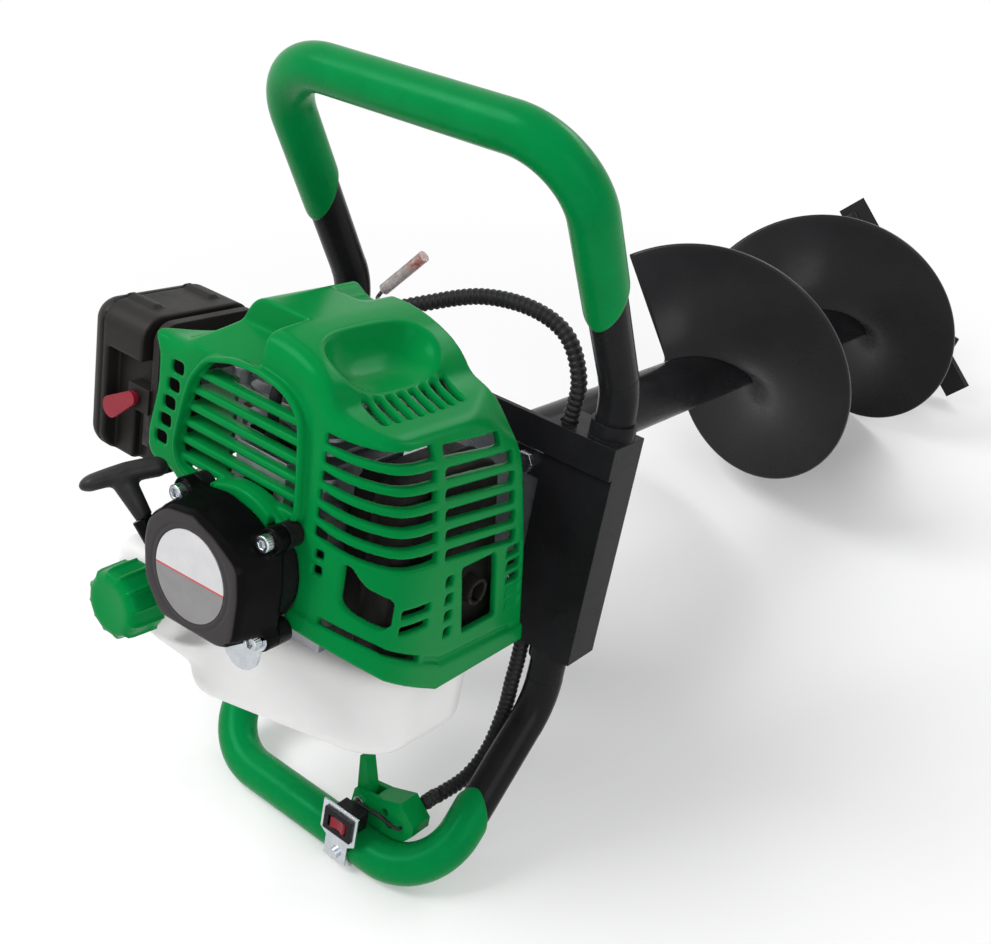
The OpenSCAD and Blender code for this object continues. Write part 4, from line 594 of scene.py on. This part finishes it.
# Engine cover: outlines of the form, of the rear and left edges, and of the openings
WALL = 2.5
COVER_FRONT = 42
SCREWS = [(sx, sz) for sx in (-36, 36) for sz in (-32, 32)]
COVER_PROFILE = fillet([
    (-170, -300), (100, -300), (100, 0), (91, 88), (84, 100), (62, 107), (52, 111), (46, 121), (37, 129), (24, 135),
    (12, 139.5), (2, 142), (-42, 142), (-50, 133), (-57, 119), (-65, 111), (-78, 108), (-96, 109), (-170, 109)], 9)
CORNER_ARC = [(42 + 58 * math.sin(a), 100 - 58 * math.cos(a)) for a in np.linspace(0, math.pi / 2, 19)]
COVER_PLAN = [(-170, COVER_FRONT)] + CORNER_ARC + [(100, 360), (-170, 360)]
COVER_SIDE = fillet([(38, -300), (38, 126), (47, 138), (74, 142), (360, 142), (360, -300)], 9)
EDGE_PLAN = fillet([(-94.5, 0), (-94.5, 44), (-89, 54), (-70, 80), (-57, 88), (-53, 100), (-53, 400), (180, 400),
                    (180, 0)], 5)
EDGE_FRONT = fillet([(-94.5, 260), (-94.5, 109), (-86, 98), (-85.5, 75), (-92, 44), (-91, 32), (-83, 26), (-72, 28),
                     (-62, 22), (-50, 4), (-50, -400), (180, -400), (180, 260)], 7)
GRILLE = fillet([(-41, 106), (-22, 112), (-2, 113.5), (15, 111), (25, 106), (31, 99), (33, 86), (35, 65), (36, 44),
                 (31, 37), (17, 33.5), (0, 33), (-24, 34), (-47, 33.5), (-56.5, 36), (-61, 46), (-59, 61), (-56, 76),
                 (-51.5, 92)], 5)
SLATS = [96.0 - 11.25 * i for i in range(6)]
WINDOW = fillet([(68, 24), (72, 24), (80, 12), (91, 4), (91, -14), (88, -17), (72, -6), (68, 0)], 3)
OUTLET = fillet([(147 + px * 17 - pz * 6, -16 + pz * 25) for px, pz in ((-1, -1), (1, -1), (1, 1), (-1, 1))], 3)


def back_edge(z):
    return 207 - 0.24 * (z + 73)


def lip(y):
    return np.interp(y, [38, 70, 116], [-26, -50, -73])


def slot_row(u0, u1, z0, z1, grow):
    return fillet([(u0, z0), (u1, z1), (u1, z1 - 7 * grow), (u0, z0 - 7)], 2.0)


# Six rows of slots run from the front round the corner and along the right side
ROWS_FRONT = [slot_row(49, 103, 98.5 - 11.2 * i, 93.5 - 13.3 * i, 1.15) for i in range(6)]
ROWS_SIDE = [slot_row(96 + 2 * i, back_edge(89 - 13.9 * i) - (8 if i else 18), 93.5 - 13.3 * i, 89 - 13.9 * i, 1.2)
             for i in range(6)]


def cover_form(x, y, z):
    """The cover's outside, before it is hollowed: crest, pocket, rear chamfer, scoop and notch."""
    f = both(in_poly(x, z, COVER_PROFILE), in_poly(x, y, COVER_PLAN), 9)
    f = both(f, in_poly(y, z, COVER_SIDE), 9)
    pocket = both(both(x + 4, y - 76, 3), (122 - 0.33 * (76 - y) - z) / 1.05, 2.5)
    f = less(f, pocket, 2)
    f = both(f, 0.75 * x + 0.3 * y + 0.59 * z - 163.5, 6)
    scoop = (np.abs((x - 46) / 33) ** 3 + np.abs((y - 100) / 46) ** 3 + np.abs((z - 156) / 44) ** 3) ** (1 / 3)
    f = less(f, 33 * (scoop - 1), 2.5)
    notch = both(np.sqrt((x + 26) ** 2 + (z - 146) ** 2) - 14, 132 - y, 8)
    return less(f, notch, 5)


def cover_shell(x, y, z, hem):
    """The wall, thicker below the hem and at the right, with a rim round the grille, cut at its edges."""
    f = cover_form(x, y, z)
    share = np.clip((hem - z) / 2.4 + 0.5, 0, 1)
    outer = f - 2.0 * share * share * (3 - 2 * share) * np.clip((x - 20) / 10, 0, 1)
    shell = both(outer, -(f + WALL + 2.5 * np.clip((x - 46) / 10, 0, 1)), 0.8)
    rim = both(np.abs(in_poly(x, z, GRILLE) - 2.4) - 2.0, slab(y, 40, 3.2), 3.0)
    shell = either(shell, rim, 2.2)
    shell = both(shell, in_poly(x, y, EDGE_PLAN), 1.2)
    shell = both(shell, in_poly(x, z, EDGE_FRONT), 1.2)
    shell = both(shell, (y - back_edge(z)) / 1.028, 1.2)
    return both(shell, (lip(y) - z) * 0.85, 1.2)


def starter_room(shell, x, y, z, hub):
    """Room for the starter and its bosses, with a brow and a band above it."""
    low = np.maximum(np.maximum(x - 34, z - 4), y - 52)
    fan = np.maximum(np.sqrt(x * x + z * z) - 42.5, y - 52)
    shell = less(less(shell, low, 1.0), fan, 1.0)
    bosses = any_of([np.hypot(x - sx, z - sz) for sx, sz in SCREWS]) - 8.5
    shell = less(shell, np.maximum(bosses, y - COVER_FRONT), 1.0)
    brow = both(slab(hub, 45.2, 2.2), both(slab(y, 41, 4.2), both(6 - z, np.abs(x + 9) - 46, 2), 2), 2.5)
    shell = either(shell, brow, 2.0)
    band = both(slab(hub, 41, 4.5), both(slab(y, 36, 2.5), both(8 - z, np.abs(x) - 23.2, 1), 1), 1.5)
    return either(shell, band, 2.0)


def front_openings(shell, x, y, z, hub):
    """The grille with its slats, five small holes at its left and two at its right."""
    grille = both(in_poly(x, z, GRILLE), 46.5 - hub, 2.0)
    holes = [in_rect(x + 70 + 2.6 * i, z - 92 + 12.1 * i, -5, 5, -4, 4, 2.6) for i in range(5)]
    holes += [in_rect(x, z, 51, 57, c - 3, c + 3, 1.2) for c in (15, 25)]
    shell = less(shell, np.maximum(any_of([grille] + holes), y - 53), 1.3)
    depth = 3.2 * np.clip((-27 - x) / 4, 0, 1)
    slats = any_of([slab(z, c, 2.4) for c in SLATS])
    slats = both(both(slats, grille - 1.5, 1.0), np.abs(y - 45.2 - depth) - 3.9 - depth, 1.6)
    return either(shell, slats, 1.0)


def side_openings(x, y, z):
    """The exhaust opening, the side's rows and its small slots and holes."""
    slots = [in_poly(y, z, poly) for poly in [OUTLET] + ROWS_SIDE]
    for i in range(5):
        c = -41 + 10.5 * i
        rear = in_rect(y - back_edge(c), z - c, -19, -5, 0, 6.5, 1.2)
        slots.append(np.maximum(rear, (97 if i < 2 else 0) - x))  # the lower two only dent the wall
    slots += [in_rect(y + 2 * i, z - 12.5 * i, 116, 123, -37, -30, 1.2) for i in range(4)]
    slots += [in_rect(y, z, 76, 98, c, c + 6, 1.2) for c in (-10, -21)]
    return np.maximum(any_of(slots), 70 - x)


def cover_field(x, y, z):
    hub = np.hypot(x, z)
    hem = lip(y) + np.interp(y, [42, 65, 89, 110, 195], [12, 15, 16, 18, 13])
    shell = cover_shell(x, y, z, hem)
    shell = starter_room(shell, x, y, z, hub)
    shell = front_openings(shell, x, y, z, hub)
    under = both(np.abs(z - hem - 3.4) - 2.1, slab(x, 81, 23), 1.5)
    shell = less(shell, np.maximum(under, y - 95), 0.8)
    ends = [88] + [90 + 2 * i for i in range(5)]
    corner = any_of([np.maximum(in_poly(x, z, row), y - end) for row, end in zip(ROWS_FRONT, ends)])
    shell = less(shell, corner, 1.2)
    groove = both(np.abs(z - hem - 2.8) - 1.5, np.maximum(96.8 - x, slab(y, 146, 46)), 1.0)
    shell = less(shell, groove, 0.8)
    shell = less(shell, np.maximum(in_poly(x, z, WINDOW), y - 76), 1.2)
    shell = less(shell, side_openings(x, y, z), 1.2)
    bowed = x + 0.0012 * (y - 102) ** 2
    vents = any_of([in_rect(bowed, y, 51, 70, 65.6 + 9.5 * i, 71.4 + 9.5 * i, 2.6) for i in range(8)])
    return less(shell, np.maximum(vents, 86 - z), 1.2)


moulded("engine_cover_moulding", cover_field, (-99, 32, -78), (107, 212, 147), 1.3, "machine", "green_plastic",
        "green_plastic", "engine_cover")

# Fuel tank: a low body, a shoulder with the filler's neck, and a slope under the shoulder
TANK_PLAN = fillet([(-58, 60), (-40, 52), (70, 84), (87, 102), (89, 164), (74, 182), (-52, 182), (-64, 164)], 14)
CAP_X, CAP_Y, CAP_Z = -71, 29, -57


def tank_field(x, y, z):
    body = both(in_poly(x, y, TANK_PLAN), np.abs(z + 96.5) - 34.5, 16)
    shoulder = in_box(x, y, z, (-77, 91, -60), (29, 61, 30), 15)
    shoulder = less(shoulder, np.maximum(-51 - x, -62 - z), 2.0)
    slope = np.maximum((body + shoulder - 22) * 0.7071, z + 84)
    f = either(either(body, shoulder, 9), slope, 7)
    neck = np.maximum(np.hypot(x - CAP_X, z - CAP_Z) - 16.5, np.maximum(16 - y, y - 40))
    return either(f, neck, 1.5)


moulded("fuel_tank_moulding", tank_field, (-110, 12, -136), (94, 188, -26), 2.2, "machine", "tank_white",
        "tank_white", "fuel_tank")

# Starter housing: four bosses with counterbores, the rope's guide and the plate's recess
STARTER_PLAN = fillet([(-40, 21), (-42, 6), (-39, -19), (-23, -37.5), (28, -35), (38.5, -27), (40, 2), (37, 22),
                       (21, 31), (-4, 39), (-26, 35)], 6)
GUIDE_FOOT, GUIDE_TIP = np.array([-42, 14, -6.0]), np.array([-53.82, 9.99, 9.63])


def starter_field(x, y, z):
    grow = np.interp(y, [0, 5, 32], [0.95, 1.0, 1.1])
    side = in_poly(x / grow, z / grow, STARTER_PLAN) * grow
    f = both(side, np.maximum(-y, y - 31.9), 3.0)
    for sx, sz in SCREWS:
        f = either(f, both(np.hypot(x - sx, z - sz) - 8, slab(y, 27.4, 4.5), 1.5), 5.0)
    (fx, fy, fz), (tx, ty, tz) = GUIDE_FOOT, GUIDE_TIP
    way = GUIDE_TIP - GUIDE_FOOT
    wx, wy, wz = way
    u = np.clip(((x - fx) * wx + (y - fy) * wy + (z - fz) * wz) / way.dot(way), 0, 1)
    guide = np.sqrt((x - fx - u * wx) ** 2 + (y - fy - u * wy) ** 2 + (z - fz - u * wz) ** 2)
    beyond = (x - tx) * wx + (y - ty) * wy + (z - tz) * wz
    f = either(f, np.maximum(guide - 6, beyond / 20), 2.5)
    for sx, sz in SCREWS:
        f = less(f, np.maximum(np.hypot(x - sx, z - sz) - 5.6, y - 22.8), 0.8)
    hub = np.hypot(x, z)
    f = less(f, np.maximum(slab(hub, 31.5, 0.7), y - 0.6), 0.5)
    return less(f, np.maximum(hub - 28.1, y - 1.0), 0.4)


moulded("starter_moulding", starter_field, (-64, -3, -48), (52, 35, 52), 1.0, "machine", "starter_black",
        "black_plastic", "starter_housing")


# Air filter lid, with the recess for the choke lever, two ribs on top and a seam
def lid_field(x, y, z):
    f = in_box(x, y, z, (-122, 87.7, 59.5), (34.5, 43, 50), 15.0)
    f = both(f, x + 104.2, 1.0)
    f = less(f, both(both(np.abs(x + 116) - 20, y - 54.5, 1.5), slab(z, 46, 36), 2.0), 1.5)
    f = less(f, both(np.abs(x + 111) - 8, both(y - 60, slab(z, 24, 40), 1.5), 1.5), 1.2)
    for at in (66.0, 110.0):
        rib = both(slab(y, at, 3.2), both(np.abs(x + 130) - 13, slab(z, 108.5, 3.0), 1.5), 2.0)
        f = either(f, rib, 2.5)
    return less(f, np.maximum(np.abs(x + 141) - 0.55, -(f + 1.1)), 0.4)


moulded("filter_lid", lid_field, (-162, 40, 4), (-100, 136, 116), 1.4, "machine", "filter_black", "black_plastic",
        "air_filter_cover")

# Pull grip: a flat bar that droops at its ends, on a tapered stem
PULL_AT = np.array([-68.5, 4.58, 33.2])
PULL_STEM = np.array([-0.591035, -0.200351, 0.781369])
PULL_ALONG = unit([0.45, 0.85, 0.25])
STEM_LOW = -27.9


def pull_field(x, y, z):
    up = unit(PULL_STEM - PULL_STEM.dot(PULL_ALONG) * PULL_ALONG)
    over = np.cross(PULL_ALONG, up)
    d = [x - PULL_AT[0], y - PULL_AT[1], z - PULL_AT[2]]
    u, v, w = (sum(a * b for a, b in zip(axis, d)) for axis in (PULL_ALONG, up, over))
    v = v + 0.0022 * u * u - 0.5
    thick = 0.82 * np.interp(u, [-22, 4], [0.74, 1.0])
    bar = np.sqrt(np.maximum(np.maximum(u - 20, -16 - u), 0) ** 2 + (v / thick) ** 2 + (w / 1.1) ** 2) - 7.6
    t = sum(a * b for a, b in zip(PULL_STEM, d))
    off = np.sqrt(np.maximum(sum(b * b for b in d) - t * t, 0))
    stem = np.maximum(off - np.interp(t, [STEM_LOW, -6], [5.0, 7.0]), np.maximum(STEM_LOW - t, t))
    return either(bar, stem, 3.5)


moulded("pull_bar", pull_field, (-106, -32, 2), (-40, 42, 52), 1.0, "pull_grip", "black_rubber", "black_plastic",
        "starter_handle")

# Grips with a tongue at each end
LEG_Y = 238.8  # where the handles' legs meet the brackets
GRIP_BEND, TUBE_R, TONGUE = 46, 12.75, 30.0
GRIP_ROWS, GRIP_SIDES = 150, 40
GRIP_LIP = [(0.0, TUBE_R), (0.0, 13.6), (0.35, 14.4), (1.2, GRIP_R)]  # distance from the end, and radius


def grip(name, half_w, bend, bar_y, bar_z, leg, node):
    corner = np.array([half_w, bar_y, bar_z], float)
    end = corner + unit(np.subtract((half_w, LEG_Y, bend), corner)) * leg
    mirror = np.array([-1, 1, 1])
    line = bent_path([end, corner, corner * mirror, end * mirror], [GRIP_BEND, GRIP_BEND], 1.0)
    total = path_length(line)
    s = run_lengths(line)
    u, v = carried_frames(line)
    angle = np.arange(GRIP_SIDES) * 2 * np.pi / GRIP_SIDES
    front = np.array([0, -1.0, 0])
    tongue = []
    for at in (0, len(line) - 1):
        facing = math.atan2(float(np.dot(front, v[at])), float(np.dot(front, u[at])))
        tongue.append(TONGUE * ((1 - np.cos(angle - facing)) / 2) ** 0.8)
    inset = GRIP_LIP[-1][0]
    rings = [("start", d, r) for d, r in GRIP_LIP]
    rings += [("middle", k / GRIP_ROWS, GRIP_R) for k in range(1, GRIP_ROWS)]
    rings += [("finish", d, r) for d, r in GRIP_LIP[::-1]]
    pts = []
    for kind, d, r in rings:
        for k in range(GRIP_SIDES):
            s0, s1 = tongue[0][k] + inset, total - tongue[1][k] - inset
            at = {"start": tongue[0][k] + d, "finish": total - tongue[1][k] - d, "middle": s0 + (s1 - s0) * d}[kind]
            c, e, f = (np.array([np.interp(at, s, rows[:, j]) for j in range(3)]) for rows in (line, u, v))
            pts.append(c + r * (math.cos(angle[k]) * e + math.sin(angle[k]) * f))
    faces = rings_to_faces(len(rings), GRIP_SIDES, False)
    piece(name, pts, faces, "machine", "green_grip", "green_grip", node)


grip("upper_grip_sleeve", 114, 104, 136.8, 262, 120, "upper_grip")
grip("lower_grip_sleeve", 106, -134, BAR_Y, BAR_Z, 76, "lower_grip")

# Auger flight with a rounded rim and a weld fillet at its root
FLIGHT_END, FLIGHT_PITCH, FLIGHT_STEP = 1137.86, 293, 2.0
WELD_R = 28  # the weld's ripples end here


def flight(end_angle, span, r_out):
    half = [(24.1, 7.5), (25.0, 5.6), (26.6, 4.3), (29.0, 3.4), (33.0, 3.0)]
    half += [(33.0 + (r_out - 35.5) * k / 14, 3.0) for k in range(1, 15)]
    half += [(r_out - 0.9, 2.7), (r_out - 0.15, 1.6), (r_out, 0.0)]
    ring = half + [(r, -t) for r, t in half[-2::-1]]
    n = int(round(span / FLIGHT_STEP))
    pts = []
    for i in range(n + 1):
        back = span - span * i / n
        a = math.radians(end_angle - back)
        y = FLIGHT_END - FLIGHT_PITCH * back / 360
        ripple = 0.25 * math.sin(7.3 * a) + 0.18 * math.sin(19.1 * a + 1.0)
        for r, t in ring:
            t += math.copysign(ripple if r < WELD_R else 0.0, t) if t else 0.0
            pts.append((r * math.sin(a), y + t, r * math.cos(a)))
    return pts, rings_to_faces(n + 1, len(ring), True)


pts, faces = flight(-47, 710, 125)
stub, stub_faces = flight(133, 30, 90)
faces += [tuple(v + len(pts) for v in f) for f in stub_faces]
piece("screw_flight", pts + stub, faces, "auger", "flight_paint", "black_paint", "auger_flight")


# Fuel cap: twelve facets with nubs between them, a dished face and a socket for the neck
def lobed_cap():
    sides, lobes = 144, 12
    rows = [(-24.6, 4.0), (-25.2, 12.0), (-25.6, 15.5), (-25.4, 17.6), (-24.4, 19.8), (-22.4, 21.6), (-19.0, 22.3),
            (-10.0, 22.6), (-4.0, 22.8), (-1.2, 22.8), (-0.3, 22.0), (0.0, 20.4), (0.0, 16.65), (-13.4, 16.65),
            (-13.4, 0.5)]
    half = math.pi / lobes
    pts = []
    for y, r in rows:
        depth = np.clip((r - 17.5) / 3, 0, 1) * (1 if y < -1 else 0.3)
        for k in range(sides):
            a = 2 * math.pi * k / sides
            facet = math.cos(half) / math.cos((a + half) % (2 * math.pi / lobes) - half)
            nub = max(0.0, math.cos(lobes * a + math.pi)) ** 8
            rr = r * (1 + depth * (facet - 1)) + depth * nub
            pts.append((CAP_X + rr * math.sin(a), CAP_Y + y, CAP_Z + rr * math.cos(a)))
    return pts, rings_to_faces(len(rows), sides, True)


piece("lobed_cap", *lobed_cap(), "cap", "green_plastic", "green_plastic", "fuel_cap")


# Socket screws round the starter: rows of place, radius and whether the row is six-sided
def socket_screws():
    sides, knurls = 48, 24
    rows = [(40.0, 0.05, 0), (40.0, 2.5, 0), (23.0, 2.5, 0), (23.0, 4.7, 0), (22.7, 5.0, 0), (17.7, 5.0, 0),
            (17.2, 4.8, 0), (17.0, 4.4, 0), (17.0, 2.75, 1), (17.3, 2.5, 1), (19.8, 2.45, 1), (20.4, 0.05, 0)]
    pts, faces = [], []
    for sx, sz in SCREWS:
        lift = 1.5 if sx > 0 and sz < 0 else 0.0  # this head stands on the guard plate
        base = len(pts)
        for i, (y, r, hexed) in enumerate(rows):
            for k in range(sides):
                a = 2 * math.pi * k / sides
                rr = r / math.cos((a + math.pi / 6) % (math.pi / 3) - math.pi / 6) if hexed else r
                if 4 <= i <= 5:
                    rr += 0.12 * math.cos(knurls * a)
                pts.append((sx + rr * math.sin(a), y - (lift if y < 25 else 0.0), sz + rr * math.cos(a)))
        faces += [tuple(v + base for v in f) for f in rings_to_faces(len(rows), sides, True)]
    return pts, faces


piece("socket_screws", *socket_screws(), "machine", "zinc", "zinc", "starter_screws", smooth=False)

# Muffler: two pressed halves with a seam, and the outlet tube
MUFFLER = fillet([(72, -56), (191, -56), (163, 68), (72, 68)], 13)
MUFFLER_PRESS = fillet([(88, -38), (120, -38), (112, 50), (88, 50)], 8)


def muffler_field(x, y, z):
    side = in_poly(y, z, MUFFLER)
    f = both(side, slab(x, 65.75, 19.7), 8)
    f = either(f, both(side - 2.0, slab(x, 66, 1.2), 0.6), 1.0)
    f = less(f, both(in_poly(y, z, MUFFLER_PRESS), 83.5 - x, 2.0), 2.0)
    ring = np.hypot(y - 147, z + 16)
    f = either(f, np.maximum(ring - 9, np.maximum(80 - x, x - 97.4)), 1.5)
    return less(f, np.maximum(ring - 7, 84 - x), 0.5)


moulded("muffler_shell", muffler_field, (42, 64, -64), (101, 200, 76), 1.8, "machine", "muffler_steel",
        "muffler_steel", "muffler")

# Floor: pale, with the object's shadow, and white farther off
FLOOR_HALF, FLOOR_DROP = 40, 0.0005
WHITE_RAYS = ("Is Camera Ray", "Is Glossy Ray", "Is Transmission Ray")
floor = bpy.data.objects.new("floor", bpy.data.meshes.new("floor"))
floor.data.from_pydata([(sx * FLOOR_HALF, sy * FLOOR_HALF, 0) for sx, sy in ((-1, -1), (1, -1), (1, 1), (-1, 1))],
                       [], [(0, 1, 2, 3)])
scene.collection.objects.link(floor)
floor.location.z = -FLOOR_DROP
g = Graph("pale_floor")
g.put(Base_Color=g.mix(g.noise(0.8), (0.93, 0.93, 0.93), (0.95, 0.95, 0.95)), Roughness=0.9, Specular_IOR_Level=0.1)
away = g.add("VectorMath", {"operation": "DISTANCE"}, i0=g.coords, i1=(0.0, 0.45, 0.0))
far = g.span(away.outputs["Value"], 0.0, 1.0, 0.3, 0.95)
rays = g.nodes.new("ShaderNodeLightPath")
shown = reduce(lambda a, b: g.calc("MAXIMUM", a, b), [rays.outputs[ray] for ray in WHITE_RAYS])
white = g.add("Emission", Color=(1, 1, 1, 1), Strength=1.0)
joined = g.add("MixShader", i0=g.calc("MULTIPLY", shown, far), i1=g.shader.outputs[0], i2=white.outputs[0])
g.links.new(joined.outputs[0], g.nodes["Material Output"].inputs["Surface"])
floor.data.materials.append(g.mat)

# World: white where it is seen, and softer as light
WORLD_LIGHT = 0.46
world = bpy.data.worlds.new("studio")
scene.world = world
world.use_nodes = True
nodes, links = world.node_tree.nodes, world.node_tree.links
nodes["Background"].inputs["Color"].default_value = (1, 1, 1, 1)
path = nodes.new("ShaderNodeLightPath")
seen = path.outputs[WHITE_RAYS[0]]
for ray in WHITE_RAYS[1:]:
    larger = nodes.new("ShaderNodeMath")
    larger.operation = "MAXIMUM"
    links.new(seen, larger.inputs[0])
    links.new(path.outputs[ray], larger.inputs[1])
    seen = larger.outputs[0]
level = nodes.new("ShaderNodeMapRange")
level.inputs[3].default_value = WORLD_LIGHT
level.inputs[4].default_value = 1.0
links.new(seen, level.inputs[0])
links.new(level.outputs[0], nodes["Background"].inputs["Strength"])


def lamp(name, at, aim, size, power):
    light = bpy.data.objects.new(name, bpy.data.lights.new(name, "AREA"))
    light.data.shape = "RECTANGLE"
    light.data.size, light.data.size_y = size
    light.data.energy = power
    light.location = at
    light.rotation_euler = (Vector(aim) - Vector(at)).to_track_quat("-Z", "Y").to_euler()
    scene.collection.objects.link(light)


lamp("key", (-0.9, -1.0, 1.9), (0, 0.15, 0.25), (1.0, 1.0), 34)
lamp("fill", (1.7, -0.8, 1.1), (0, 0.2, 0.25), (1.2, 1.2), 11)
lamp("rear", (0.4, 1.9, 1.6), (0, 0.3, 0.2), (1.6, 0.6), 14)

scene.view_settings.view_transform = "Standard"
